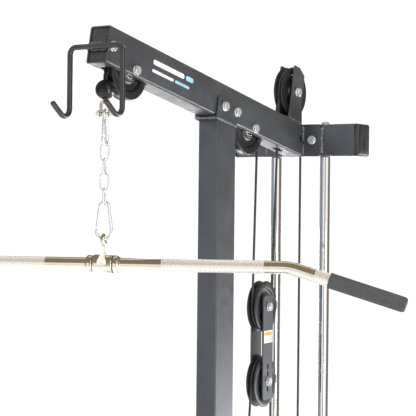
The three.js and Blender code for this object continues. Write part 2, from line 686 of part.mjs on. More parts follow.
const addRowEnd = () => {
  const holder = groupAt(0, rowBallY, rowZ, { x: -Math.PI / 2 });
  piece(holder, 'row_stop_ball', ball(), 'plastic');
  const strapAt = -BALL_RADIUS - GAP;
  piece(holder, 'row_shackle', strap(), 'strap').position.z = strapAt;
  const boltAt = strapAt + 6 - STRAP.length;
  piece(holder, 'row_shackle_bolt', strapBolt(), 'zinc').position.z = boltAt;
  const clipZ = rowZ + 4 + GAP + 2 * CARABINER.wire - clipHalf;
  for (const [name, geometry] of [
    ['row_carabiner', carabinerBody()], ['row_carabiner_gate', carabinerGate()],
  ]) {
    const part = piece(root, name, geometry, 'zinc');
    part.position.set(0, rowBallY + boltAt, clipZ);
    part.rotation.z = Math.PI / 2;
  }
};

// ---- Carriage -----------------------------------------------------------------------

const CARRIAGE_LOW = ROD_FOOT + BUMPER.height + 3 * GAP;
const CARRIAGE_TOP = CARRIAGE_LOW + CARRIAGE.height;

const addCarriage = () => {
  const { tube: radius, bore, height, blockHeight, blockDepth } = CARRIAGE;
  const middle = height / 2;
  const sides = [-1, 1];
  const sleeves = sides.map((side) => round(radius, height, 'z', 20)
    .translate(side * ROD_X, 0, middle));
  const bores = sides.map((side) => round(bore, height + 2, 'z', 20)
    .translate(side * ROD_X, 0, middle));
  const yoke = block(2 * ROD_X, blockDepth, blockHeight, 0, 0, middle);
  const cableEnd = round(9, 20, 'z', 12).translate(0, 0, middle + blockHeight / 2 + 8);
  const level = HORN.z - CARRIAGE_LOW;
  const hornStart = ROD_X + 16;
  const flangeAt = ROD_X + radius + 6 + HORN.flangeThickness / 2;
  const horns = sides.flatMap((side) => [
    round(HORN.radius, HORN.reach - hornStart, 'x', 20)
      .translate((side * (HORN.reach + hornStart)) / 2, 0, level),
    round(HORN.flange, HORN.flangeThickness, 'x', 20).translate(side * flangeAt, 0, level),
  ]);
  const welded = join(yoke, ...sleeves, cableEnd, ...horns);
  piece(root, 'carriage', cut(welded, ...bores), 'frame').position.set(0, ROD_Y, CARRIAGE_LOW);
};

// ---- Cables -------------------------------------------------------------------------

// Tangent line between two wheels in the Y-Z plane. A wheel's turn is 1 where the cable
// runs round it anticlockwise seen from +X, -1 where it runs clockwise.
const heading = (from, to) => {
  const dy = to.y - from.y;
  const dz = to.z - from.z;
  const offset = (to.turn ?? 0) * (to.radius ?? 0) - (from.turn ?? 0) * (from.radius ?? 0);
  return Math.atan2(dz, dy) - Math.asin(offset / Math.hypot(dy, dz));
};

const WRAP_STEP = THREE.MathUtils.degToRad(13);

const wrap = (wheel, arriving, leaving) => {
  const first = arriving - (wheel.turn * Math.PI) / 2;
  let swing = (leaving - arriving) * wheel.turn;
  while (swing < 0) swing += Math.PI * 2;
  const steps = Math.max(2, Math.round(swing / WRAP_STEP));
  const yaw = wheel.yaw ?? 0;
  return Array.from({ length: steps + 1 }, (_, step) => {
    const angle = first + (wheel.turn * swing * step) / steps;
    const level = wheel.radius * Math.cos(angle);
    return new THREE.Vector3(
      -level * Math.sin(yaw), wheel.y + level * Math.cos(yaw),
      wheel.z + wheel.radius * Math.sin(angle),
    );
  });
};

const cable = (stops) => {
  const headings = stops.slice(1).map((stop, index) => heading(stops[index], stop));
  const points = stops.flatMap((stop, index) => (
    stop.radius ? wrap(stop, headings[index - 1], headings[index])
      : [new THREE.Vector3(stop.x ?? 0, stop.y, stop.z)]
  ));
  const trim = stops[0].trim;
  points[0].lerp(points[1], trim / points[0].distanceTo(points[1]));
  return sweep(points, CABLE_RADIUS);
};

const wheelAt = ({ y, z }, turn, yaw = 0) => ({ y, z, turn, yaw, radius: ROUTE_RADIUS });
const upperBlock = { y: BLOCK_Y, z: BLOCK_UPPER_Z };
const lowerBlock = { y: BLOCK_Y, z: BLOCK_LOWER_Z };
const anchorX = -ROUTE_RADIUS * Math.sin(BLOCK_YAW);
const anchorY = BLOCK_Y + ROUTE_RADIUS * Math.cos(BLOCK_YAW);

const addCables = () => {
  const latStops = [
    { y: HANG_Y, z: ballZ, trim: BALL_RADIUS + GAP },
    wheelAt(frontPulleyAt, -1), wheelAt(boomPoint(MID_PULLEY.along, MID_PULLEY.up), -1),
    wheelAt(upperBlock, 1, BLOCK_YAW), wheelAt(TOP_PULLEY, -1),
    { y: ROD_Y, z: CARRIAGE_LOW + CARRIAGE.height / 2 + CARRIAGE.blockHeight / 2 + 18 + GAP },
  ];
  const rowStops = [
    { y: rowBallY, z: rowZ, trim: BALL_RADIUS + GAP },
    wheelAt(LOW_PULLEY, 1), wheelAt(lowerBlock, -1, BLOCK_YAW),
    { x: anchorX, y: anchorY, z: TUBE_H + 41 + GAP },
  ];
  piece(root, 'lat_cable', cable(latStops), 'cable');
  piece(root, 'row_cable', cable(rowStops), 'cable');
};

addBase();
addFootPlate();
addPost();
addBoom();
addCrossbeam();
addTopBracket();
addRods();
addBarHook();
addFramePulleys();
addFrameBolts();
addFloatingBlock();
addHanger();
addLatBar();
addRowEnd();
addCarriage();
addCables();

export default root;
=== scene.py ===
"""Looks of the lat pulldown and low row cable tower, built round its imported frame."""

import random
from math import asin, atan2, cos, degrees, hypot, pi, radians, sin, sqrt, tan, tau

import bmesh
import bpy
from mathutils import Matrix, Vector


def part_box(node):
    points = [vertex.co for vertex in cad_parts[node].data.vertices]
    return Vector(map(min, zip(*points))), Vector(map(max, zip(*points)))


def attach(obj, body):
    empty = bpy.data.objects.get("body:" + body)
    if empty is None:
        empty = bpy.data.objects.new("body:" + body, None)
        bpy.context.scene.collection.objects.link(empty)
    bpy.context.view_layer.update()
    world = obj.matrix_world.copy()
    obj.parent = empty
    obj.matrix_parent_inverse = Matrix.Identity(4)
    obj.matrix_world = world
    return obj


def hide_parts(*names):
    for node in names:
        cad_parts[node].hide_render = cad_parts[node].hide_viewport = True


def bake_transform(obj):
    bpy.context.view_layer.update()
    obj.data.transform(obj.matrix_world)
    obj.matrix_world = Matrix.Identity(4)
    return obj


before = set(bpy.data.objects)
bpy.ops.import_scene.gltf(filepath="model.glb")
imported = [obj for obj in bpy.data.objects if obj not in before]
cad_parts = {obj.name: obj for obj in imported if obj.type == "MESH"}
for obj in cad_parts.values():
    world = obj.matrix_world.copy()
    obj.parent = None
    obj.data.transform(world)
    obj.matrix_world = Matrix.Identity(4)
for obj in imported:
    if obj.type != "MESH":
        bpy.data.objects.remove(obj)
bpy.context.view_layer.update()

# Lengths are in millimetres and in the part's own frame, and become metres in piece().
SCALE = 0.001
GAP = 0.3  # left between two parts that are bolted or welded together
TUBE_W, TUBE_H, WALL, CORNER = 50, 75, 3, 5
TOP, POST_Y = 2000, 5.5
FLANGE_Y, FLANGE_HALF, FLANGE_THICKNESS, FLANGE_BOLT_X, FLANGE_BOLT_DOWN = 340, 71, 5, 50, 37
CROSSBEAM_Y, CROSSBEAM_DEPTH, CROSSBEAM_LENGTH = 370, 60, 316
BOOM_ANGLE, BOOM_LENGTH = radians(11.4), 764
SADDLE_REAR, SADDLE_FRONT, SADDLE_UNDER, SADDLE_HEIGHT, SADDLE_BOLT_UP = 290, 373, 4, 43, 25.5
ROD_X, ROD_RADIUS = 66.4, 12.5
ROUTE_RADIUS, CABLE_RADIUS = 51, 2.75
BLOCK_Y, BLOCK_YAW = 200, radians(6)
ANCHOR_X = -ROUTE_RADIUS * sin(BLOCK_YAW)
ANCHOR_Y = BLOCK_Y + ROUTE_RADIUS * cos(BLOCK_YAW)
HOOK_WIRE, HOOK_HALF, HOOK_Y, HOOK_TOP, HOOK_TURN, HOOK_BOTTOM = 5.5, 64, -424, 2110, 14, 1980
HANG_YAW = radians(22)
BALL_RADIUS = 19.8
CARABINER_HEIGHT, CARABINER_WIRE = 78, 3.3
BAR_RADIUS, BAR_BEND_AT, BAR_REACH, BAR_DROOP = 12.7, 365, 595, radians(17)
SLEEVE_RADIUS, GRIP_LENGTH = 18.5, 152
SIDES = (("left", -1), ("right", 1))

IDENTITY = Matrix.Identity(4)


def centre_of(node):
    low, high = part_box(node)
    return (low + high) / 2 / SCALE


def extent(node, axis):
    """Low and high end of a node's box along one axis."""
    return [getattr(corner, axis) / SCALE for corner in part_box(node)]


def shift(x=0, y=0, z=0):
    return Matrix.Translation((x, y, z))


def turn(angle, axis):
    return Matrix.Rotation(angle, 4, axis)


def quarter(axis, sign=1):
    return turn(sign * pi / 2, axis)


TO_X = quarter("Y")  # lays a Z-long shape along +X
TO_YZ = quarter("Z") @ quarter("X")  # stands an outline in X-Y up in Y-Z
BOOM = shift(0, FLANGE_Y, TOP) @ turn(-BOOM_ANGLE, "X")
BLOCK = shift(0, BLOCK_Y, 0) @ turn(BLOCK_YAW, "Z")
HANGER = shift(*centre_of("lat_stop_ball").to_2d(), 0) @ turn(HANG_YAW, "Z")


# ---- Materials ----

class Tree:
    """Builds the nodes of a material or of the world."""

    def __init__(self, tree):
        self.tree = tree

    def feed(self, node, inputs):
        """Gives each input a value or another node's output."""
        for name, value in inputs.items():
            if isinstance(value, bpy.types.NodeSocket):
                self.tree.links.new(value, node.inputs[name])
            else:
                node.inputs[name].default_value = value

    def add(self, kind, inputs, output=None, **settings):
        node = self.tree.nodes.new("ShaderNode" + kind)
        for name, value in settings.items():
            setattr(node, name, value)
        self.feed(node, inputs)
        return node.outputs[output] if output else node

    def ramp(self, value, stops):
        node = self.add("ValToRGB", {"Fac": value})
        elements = node.color_ramp.elements
        while len(elements) < len(stops):
            elements.new(0.5)
        for element, (position, colour) in zip(elements, stops):
            element.position = position
            element.color = (*colour, 1)
        return node.outputs["Color"]

    def span(self, value, low, high, start=0.0, end=1.0):
        """Carries low to high over to start to end."""
        limits = {"From Min": low, "From Max": high, "To Min": start, "To Max": end}
        return self.add("MapRange", {"Value": value, **limits}, "Result")


class Surface(Tree):
    """Builds one material."""

    def __init__(self, name, colour, roughness, metallic=0.0):
        self.material = bpy.data.materials.new(name)
        self.material.use_nodes = True
        self.material.diffuse_color = (*colour, 1)
        super().__init__(self.material.node_tree)
        self.colour, self.height = colour, None
        self.shader = self.tree.nodes["Principled BSDF"]
        self.set({"Base Color": (*colour, 1), "Roughness": roughness, "Metallic": metallic})
        self.where = self.add("TexCoord", {}, "Object")

    def set(self, inputs):
        self.feed(self.shader, inputs)

    def noise(self, scale, detail, stretch=None):
        """Noise of `scale` waves per metre, from about 0.3 to 0.7."""
        where = self.where
        if stretch:
            where = self.add("Mapping", {"Vector": where, "Scale": stretch}, "Vector")
        return self.add("TexNoise", {"Vector": where, "Scale": scale, "Detail": detail}, "Fac")

    def shades(self, low, high):
        """The base colour times two factors."""
        return [tuple(min(1.0, c * factor) for c in self.colour) for factor in (low, high)]

    def tint(self, value, low, high, start=0.35, end=0.65):
        """Colour that goes from `low` to `high` with the value."""
        self.set({"Base Color": self.ramp(value, [(start, low), (end, high)])})

    def rough(self, value, low, high):
        self.set({"Roughness": self.span(value, 0.3, 0.7, low, high)})

    def bump(self, value, depth, strength=1.0):
        inputs = {"Height": value, "Distance": depth * SCALE, "Strength": strength}
        if self.height:
            inputs["Normal"] = self.height
        self.height = self.add("Bump", inputs, "Normal")
        self.set({"Normal": self.height})


def powder_coat(name, colour, roughness, grain=1.0, coat=(0.18, 0.3)):
    m = Surface(name, colour, roughness)
    m.tint(m.noise(14, 5), *m.shades(0.86, 1.14))
    m.rough(m.noise(45, 4), roughness - 0.07, roughness + 0.08)
    m.bump(m.noise(420, 2), 0.07 * grain, 0.4)
    m.bump(m.noise(1500, 1), 0.03 * grain, 0.3)
    m.set({"Coat Weight": coat[0], "Coat Roughness": coat[1]})
    return m.material


def plated(name, colour, roughness, streak=None, variation=0.08, metal=1.0):
    m = Surface(name, colour, roughness, metal)
    m.tint(m.noise(60, 4), *m.shades(1 - variation, 1 + variation))
    m.rough(m.noise(170, 3, streak), roughness * 0.7, roughness * 1.5)
    m.bump(m.noise(520, 2, streak), 0.012, 0.5)
    return m.material


def zinc_plate(name, blue, yellow, roughness=0.23, metal=1.0):
    """Passivated zinc: bluish silver that drifts to pale yellow."""
    m = Surface(name, blue, roughness, metal)
    stops = zip((0.38, 0.55, 0.72), (*m.shades(1, 0.92), yellow))
    m.set({"Base Color": m.ramp(m.noise(95, 3), list(stops))})
    m.rough(m.noise(240, 3), roughness - 0.06, roughness + 0.07)
    m.bump(m.noise(300, 2), 0.008, 0.4)
    return m.material


def moulded(name, colour, roughness, grain=900, depth=0.03):
    m = Surface(name, colour, roughness)
    m.tint(m.noise(30, 4), *m.shades(0.85, 1.2))
    m.rough(m.noise(80, 4), roughness - 0.03, roughness + 0.05)
    m.bump(m.noise(grain, 2), depth, 0.5)
    return m.material


def grained_rubber(name, colour):
    m = Surface(name, colour, 0.66)
    m.tint(m.noise(320, 4), *m.shades(0.85, 1.2))
    m.rough(m.noise(200, 3), 0.52, 0.74)
    m.bump(m.add("TexVoronoi", {"Vector": m.where, "Scale": 1400}, "Distance"), 0.12, 0.6)
    m.bump(m.noise(2600, 2), 0.05, 0.4)
    return m.material


def knurled(name, colour):
    """Diamond knurl from two families of slanting ridges."""
    m = Surface(name, colour, 0.3, 0.7)
    m.tint(m.noise(900, 2), *m.shades(0.93, 1.04))
    m.rough(m.noise(300, 2), 0.24, 0.39)
    for tilt in (1, -1):
        slant = (tilt * 0.6, tilt * 0.62, HANG_YAW)
        where = m.add("Mapping", {"Vector": m.where, "Rotation": slant}, "Vector")
        ridges = m.add("TexWave", {"Vector": where, "Scale": 160}, "Fac", bands_direction="X")
        m.bump(ridges, 0.05, 0.4)
    return m.material


def streaked(name, low, high):
    """Scuffed moulding with streaks that run upright."""
    m = Surface(name, low, 0.45)
    m.tint(m.noise(130, 4, (1, 1, 0.12)), low, high, 0.4, 0.62)
    m.rough(m.noise(90, 3, (1, 1, 0.2)), 0.36, 0.6)
    m.bump(m.noise(160, 3, (1, 1, 0.1)), 0.5, 0.7)
    return m.material


def welded(name, colour):
    m = Surface(name, colour, 0.5, 0.15)
    m.tint(m.noise(220, 5), *m.shades(0.55, 1.7))
    m.rough(m.noise(150, 3), 0.35, 0.6)
    m.bump(m.noise(380, 4), 0.5, 0.8)
    return m.material


def coated_cable(name, colour):
    m = Surface(name, colour, 0.42)
    m.tint(m.noise(130, 4), *m.shades(0.7, 1.5))
    m.rough(m.noise(90, 3), 0.34, 0.52)
    m.bump(m.noise(600, 2, (1, 1, 0.3)), 0.06, 0.5)
    return m.material


FRAME = powder_coat("charcoal_powder_coat", (0.048, 0.052, 0.060), 0.42)
EDGE_PLASTIC = moulded("cap_plastic", (0.022, 0.023, 0.025), 0.4, 700, 0.05)
STREAKED_CAP = streaked("scuffed_cap_plastic", (0.009, 0.0088, 0.0086), (0.032, 0.031, 0.030))
SATIN_BLACK = powder_coat("satin_black_enamel", (0.028, 0.029, 0.031), 0.28, 0.1, (0.3, 0.16))
CHROME = plated("hard_chrome", (0.9, 0.9, 0.91), 0.05, (1, 1, 0.15), 0.03)
NICKEL = plated("warm_nickel", (0.84, 0.80, 0.73), 0.12, None, 0.05)
# Painted sheen: near-white, partly matt nickel that stands in for the bright highlight on the swivel's
# neck.
SHEEN_NICKEL = plated("nickel_painted_sheen", (0.95, 0.93, 0.87), 0.3, None, 0.03, 0.35)
KNURL = knurled("nickel_knurl", (0.9, 0.86, 0.8))
ZINC = zinc_plate("clear_zinc", (0.84, 0.88, 0.92), (0.88, 0.86, 0.76), 0.23, 0.68)
CHAIN_ZINC = zinc_plate("bright_zinc", (0.9, 0.94, 0.99), (0.9, 0.9, 0.88), 0.3, 0.8)
STRAP = zinc_plate("strap_zinc", (0.52, 0.46, 0.36), (0.6, 0.48, 0.3))
HUB = zinc_plate("bearing_race", (0.66, 0.62, 0.5), (0.7, 0.58, 0.34))
SEAL = moulded("bearing_seal", (0.05, 0.043, 0.036), 0.45)
# Painted shade: dark brown for the gaps beside the bar's collars, where shade falls between the parts.
GROOVE_SHADE = moulded("painted_groove_shade", (0.10, 0.072, 0.045), 0.4)
NYLON = moulded("pulley_nylon", (0.015, 0.015, 0.017), 0.32, 500, 0.008)
GLOSS_BLACK = moulded("gloss_black_plastic", (0.006, 0.006, 0.007), 0.24, 120, 0.003)
RUBBER = grained_rubber("grip_rubber", (0.062, 0.062, 0.064))
BUMPER = grained_rubber("bumper_rubber", (0.02, 0.02, 0.021))
CABLE = coated_cable("coated_cable", (0.026, 0.024, 0.022))
WELD = welded("painted_weld", (0.07, 0.072, 0.078))
PALE_WELD = welded("pale_painted_weld", (0.14, 0.145, 0.15))
LABEL_WHITE = moulded("label_white", (0.8, 0.81, 0.82), 0.35, 300, 0.01)
LABEL_GREY = moulded("label_grey", (0.5, 0.5, 0.51), 0.4, 300, 0.01)
LABEL_BLUE = moulded("label_blue", (0.33, 0.58, 0.76), 0.35, 300, 0.01)
LABEL_ORANGE = moulded("label_orange", (0.85, 0.38, 0.06), 0.4, 300, 0.01)


# ---- Mesh building ----

def arc(cx, cy, radius, start, end, steps):
    """Points of an arc in a plane, from start to end in degrees."""
    angles = [radians(start + (end - start) * i / steps) for i in range(steps + 1)]
    return [(cx + radius * cos(a), cy + radius * sin(a)) for a in angles]


def upright(points, y=0):
    """Points in X-Y stood up in X-Z."""
    return [Vector((x, y, z)) for x, z in points]


def rounded(width, height, radius, steps=6, x=0, y=0):
    """Outline of a rectangle with round corners, anticlockwise."""
    points = []
    for corner, (sx, sy) in enumerate([(1, 1), (-1, 1), (-1, -1), (1, -1)]):
        cx, cy = x + sx * (width / 2 - radius), y + sy * (height / 2 - radius)
        points += arc(cx, cy, radius, 90 * corner, 90 * corner + 90, steps)
    return points


def mirrored(half):
    """A profile followed by its mirror image across height 0."""
    return half + [(radius, -height) for radius, height in reversed(half)]


def skin(bm, rings, closed=False, capped=False):
    """Faces between rings of vertices. A ring of one vertex is a point."""
    pairs = list(zip(rings, rings[1:])) + ([(rings[-1], rings[0])] if closed else [])
    for a, b in pairs:
        count = max(len(a), len(b))
        for i in range(count):
            j = (i + 1) % count
            corners = [a[i % len(a)], a[j % len(a)], b[j % len(b)], b[i % len(b)]]
            unique = list(dict.fromkeys(corners))
            if len(unique) > 2:
                bm.faces.new(unique)
    if capped:
        bm.faces.new(rings[0][::-1])
        bm.faces.new(rings[-1])


def shape(build):
    """Makes a builder wait: a call gives a function that mesh_of() runs on its mesh later."""
    def waiting(*args, **details):
        return lambda bm: build(bm, *args, **details)
    return waiting


@shape
def stack(bm, outlines, m=IDENTITY, closed=False):
    """Joins outlines in X-Y, each at its own Z, into a solid, or a hollow one if `closed`."""
    rings = [[bm.verts.new(m @ Vector((x, y, z))) for x, y in outline] for outline, z in outlines]
    skin(bm, rings, closed, capped=not closed)


def slab(outline, low, high, m=IDENTITY):
    """An outline in X-Y filled from Z low to Z high."""
    return stack([(outline, low), (outline, high)], m)


def box(size, m=IDENTITY):
    x, y, z = (length / 2 for length in size)
    return slab([(x, y), (-x, y), (-x, -y), (x, -y)], -z, z, m)


def tube(width, height, low, high, m=IDENTITY):
    """Open rectangular tube along Z."""
    outer = rounded(width, height, CORNER)
    inner = rounded(width - 2 * WALL, height - 2 * WALL, CORNER - WALL)
    return stack([(outer, low), (outer, high), (inner, high), (inner, low)], m, closed=True)


@shape
def lathe(bm, profile, m=IDENTITY, sides=48, closed=False):
    """[radius, height] pairs turned about Z."""
    angles = [tau * side / sides for side in range(sides)]
    skin(bm, [
        [bm.verts.new(m @ Vector((r * cos(a), r * sin(a), z))) for a in (angles if r else [0])]
        for r, z in profile
    ], closed)


def rod(radius, low, high, m=IDENTITY, sides=32, edge=0.6):
    """Solid round bar along Z with softened ends."""
    return lathe([
        (0, low), (radius - edge, low), (radius, low + edge),
        (radius, high - edge), (radius - edge, high), (0, high),
    ], m, sides)


def ring(inner, outer, low, high, m=IDENTITY, sides=48, edge=0.5):
    """Round sleeve along Z with softened edges."""
    return lathe([
        (inner, low), (outer - edge, low), (outer, low + edge),
        (outer, high - edge), (outer - edge, high), (inner, high),
    ], m, sides, closed=True)


@shape
def sweep(bm, points, radius, m=IDENTITY, sides=16, closed=False, domed=False):
    """Round section along points. radius is a number or one number for each point."""
    points = [m @ Vector(p) for p in points]
    radii = radius if isinstance(radius, list) else [radius] * len(points)
    if domed:
        points, radii = with_domes(points, radii)
    count = len(points)
    tangents = []
    for i in range(count):
        before = points[i - 1] if i or closed else points[0]
        after = points[(i + 1) % count] if i < count - 1 or closed else points[-1]
        tangents.append((after - before).normalized())
    side = tangents[0].orthogonal().normalized()
    rings = []
    for i, (point, tangent) in enumerate(zip(points, tangents)):
        if i:
            side = tangents[i - 1].rotation_difference(tangent) @ side
        side = (side - tangent * side.dot(tangent)).normalized()
        other = tangent.cross(side)
        rings.append([
            bm.verts.new(point + radii[i] * (cos(tau * s / sides) * side + sin(tau * s / sides) * other))
            for s in range(sides)
        ])
    skin(bm, rings, capped=not closed)
    if closed:
        gaps = [(rings[-1][0].co - vertex.co).length for vertex in rings[0]]
        nearest = gaps.index(min(gaps))
        skin(bm, [rings[-1], rings[0][nearest:] + rings[0][:nearest]])


def with_domes(points, radii):
    """Rounds both ends of a sweep."""
    def dome(tip, inner, radius):
        out = (tip - inner).normalized()
        angles = [radians(a) for a in (85, 62, 40, 18)]
        rise = [(tip - out * radius * (1 - sin(a)), radius * cos(a)) for a in angles]
        return [*rise, (tip - out * radius, radius)]
    start = dome(points[0], points[1], radii[0])
    end = dome(points[-1], points[-2], radii[-1])
    return zip(*start, *zip(points[1:-1], radii[1:-1]), *reversed(end))


def bead(start, end, radius, seed, m=IDENTITY):
    """A weld bead: overlapping ripples with an uneven edge."""
    rng = random.Random(seed)
    start, end = Vector(start), Vector(end)
    count = max(6, int((end - start).length / 1.3))
    points, radii = [], []
    for i in range(count + 1):
        wander = Vector([rng.uniform(-1, 1) for _ in range(3)])
        points.append(start.lerp(end, i / count) + wander * radius * 0.1)
        radii.append(radius * (1 + 0.16 * sin(i * 2.1) + rng.uniform(-0.12, 0.12)))
    return sweep(points, radii, m, 10, domed=True)


def mesh_of(name, shapes):
    """A mesh in metres of one shape or a list of shapes in millimetres."""
    bm = bmesh.new()
    for fill in shapes if isinstance(shapes, list) else [shapes]:
        fill(bm)
    bmesh.ops.recalc_face_normals(bm, faces=bm.faces)
    mesh = bpy.data.meshes.new(name)
    bm.to_mesh(mesh)
    bm.free()
    mesh.transform(Matrix.Scale(SCALE, 4))
    return mesh


def placed(name, data):
    """A new object in the scene."""
    obj = bpy.data.objects.new(name, data)
    bpy.context.scene.collection.objects.link(obj)
    return obj


def carve(obj, shapes):
    cutter = placed("cutter", mesh_of("cutter", shapes))
    modifier = obj.modifiers.new("cut", "BOOLEAN")
    modifier.operation, modifier.solver = "DIFFERENCE", "EXACT"
    modifier.use_self = True
    modifier.object = cutter
    result = obj.evaluated_get(bpy.context.evaluated_depsgraph_get())
    obj.data = bpy.data.meshes.new_from_object(result)
    obj.modifiers.clear()
    bpy.data.objects.remove(cutter)


def piece(name, shapes, materials, replaces=None, body="frame", slot=None, cuts=None, bevel=0,
          sharp=32, paint=None, blend=None):
    """Makes one named piece. `paint` gives a face's material number from its middle, in mm."""
    obj = placed(name, mesh_of(name, shapes))
    if cuts:
        carve(obj, cuts)
    obj.data.materials.clear()
    materials = materials if isinstance(materials, list) else [materials]
    for material in materials:
        obj.data.materials.append(material)
    for face in obj.data.polygons:
        face.use_smooth = True
        face.material_index = paint(Vector(face.center) / SCALE) if paint else 0
    obj.data.set_sharp_from_angle(angle=radians(sharp))
    if bevel:
        edges = obj.modifiers.new("edges", "BEVEL")
        edges.width = bevel * SCALE
        edges.segments = 2
        edges.limit_method = "ANGLE"
        edges.angle_limit = radians(40)
        obj.modifiers.new("normals", "WEIGHTED_NORMAL").keep_sharp = True
    if blend:
        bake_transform(obj)
    else:
        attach(obj, body)
    if replaces:
        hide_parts(replaces)


def welds(name, beads, m=IDENTITY, material=WELD, **where):
    """One piece of weld beads, each given by its start, end, radius and seed."""
    piece(name, [bead(*details, m) for details in beads], material, **where)


def printed(name, outlines, low, high, m, material, body="frame"):
    """Thin flat patches between two heights above a face."""
    piece(name, [slab(outline, low, high, m) for outline in outlines], material, body=body)


# ---- Fasteners and pulleys ----

def hex_block(across, low, high, m, chamfer_low=False):
    """Hexagon along Z with its corners turned off at the top, as on a bolt head."""
    inner = across / 2 * 0.96
    drop = (across / sqrt(3) - inner) * 0.55
    levels = [(low, False), (low + drop, True)] if chamfer_low else [(low, True)]
    levels += [(high - drop, True), (high, False)]
    sides = 36
    outlines = []
    for z, full in levels:
        outline = []
        for i in range(sides):
            angle = tau * i / sides
            flat = (angle + pi / 6) % (pi / 3) - pi / 6
            hexed = across / 2 / cos(pi / 6 - abs(flat))
            radius = hexed if full else min(hexed, inner)
            outline.append((radius * cos(angle), radius * sin(angle)))
        outlines.append((outline, z))
    return stack(outlines, m)


def thread(radius, low, high, m, pitch=1.5, depth=0.8):
    """Bolt end with thread crests."""
    profile = [(0, low), (radius - depth, low)]
    crests = int((high - low) / pitch)
    step = (high - low) / crests
    for i in range(crests):
        profile += [(radius, low + step * (i + 0.5)), (radius - depth, low + step * (i + 1))]
    return lathe([*profile, (0, high)], m, 20)


def bolt(name, m, grip, body, node, across=17, head=7, nut=8, shank=5, washer=1.4, spin=0.0):
    """Bolt along the matrix's X: head at +grip, nut and thread at -grip."""
    m = m @ TO_X @ turn(spin, "Z")
    face = grip + GAP
    piece(name, [
        ring(shank, across * 0.6, face, face + washer, m, 32, 0.3),
        hex_block(across, face + washer, face + head, m),
        ring(shank, across * 0.6, -face - washer, -face, m, 32, 0.3),
        hex_block(across, -face - nut, -face - washer, m, chamfer_low=True),
        thread(shank - 0.1, -face - nut - 2.5, -face - nut + 1, m),
        rod(shank - 0.2, -grip - 1, grip + 1, m, 20),
    ], ZINC, node, body, sharp=25)


# Radius and distance from the middle plane, in mm.
SHEAVE = mirrored([
    (17.3, 11.6), (18.6, 11.9), (20.0, 11.2), (21.6, 8.8), (23.6, 6.9), (27.0, 6.2),
    (29.4, 6.1), (30.0, 5.2), (31.4, 5.2), (32.0, 6.1), (37.6, 6.3), (39.8, 7.0), (41.0, 8.8),
    (42.2, 10.5), (43.6, 11.0), (55.8, 11.0), (57.4, 10.7), (58.3, 9.8), (58.5, 8.8),
    (58.0, 8.0), (54.5, 6.4), (51.0, 4.9), (49.0, 3.9), (48.0, 2.6), (47.4, 1.2),
])
RACE = mirrored([
    (5.3, 12.0), (8.6, 12.0), (9.2, 11.4), (9.4, 10.8), (13.4, 10.8), (13.6, 11.4),
    (14.2, 11.8), (16.6, 11.8), (17.2, 11.2),
])
SEAL_INNER, SEAL_OUTER, BEARING_HALF = 9.3, 13.5, 12.25


def pulley(label, node, body, m, inner):
    """Nylon sheave, its ball bearing, and the spacers that fill the space to `inner`."""
    axle = m @ TO_X
    piece(f"{label}_sheave", lathe(SHEAVE, axle, 80, closed=True), NYLON, node, body, sharp=50)

    def part(middle):
        spot = axle.inverted() @ middle
        return 1 if SEAL_INNER < hypot(spot.x, spot.y) < SEAL_OUTER else 0
    piece(f"{label}_bearing", lathe(RACE, axle, closed=True), [HUB, SEAL], body=body, paint=part)
    if inner > BEARING_HALF + GAP:
        piece(f"{label}_spacers", [
            ring(5.1, 8, low, high, axle, 32, 0.25)
            for low, high in ((BEARING_HALF, inner - 0.1), (-inner + 0.1, -BEARING_HALF))
        ], ZINC)


# ---- Base ----

def tube_inside(width, height, radius, steps):
    """Outline of a plug that goes into a tube."""
    play = 2 * WALL + 0.8
    return rounded(width - play, height - play, radius, steps)


def shrinking(width, height, levels, least, m):
    """A tube's outline drawn in by an inset at each Z, with corners no sharper than `least`."""
    return stack([
        (rounded(width - 2 * inset, height - 2 * inset, max(least, CORNER - inset)), z)
        for z, inset in levels
    ], m)


def tube_end_cap(m, width, height, proud):
    """Moulded plug: a domed flange over the tube's end and a plain block inside it."""
    levels = [(0.2, 0.0), (proud * 0.55, 0.15), (proud * 0.85, 0.9), (proud, 2.4)]
    return [
        shrinking(width, height, levels, 1.2, m),
        slab(tube_inside(width, height, 2.2, 3), -18, 0.3, m),
    ]


def pillow(m, width, height, edge, bulge):
    """Push-on cap with a straight edge and a bulging face."""
    straight = edge * 0.7
    levels = [(0.2, 0), (straight, 0)]
    levels += [
        (straight + (edge - straight + bulge) * sin(radians(angle)), inset)
        for angle, inset in ((25, 0.7), (45, 2.6), (60, 6), (74, 12), (84, 19), (90, 27))
    ]
    return shrinking(width, height, levels, 1.0, m)


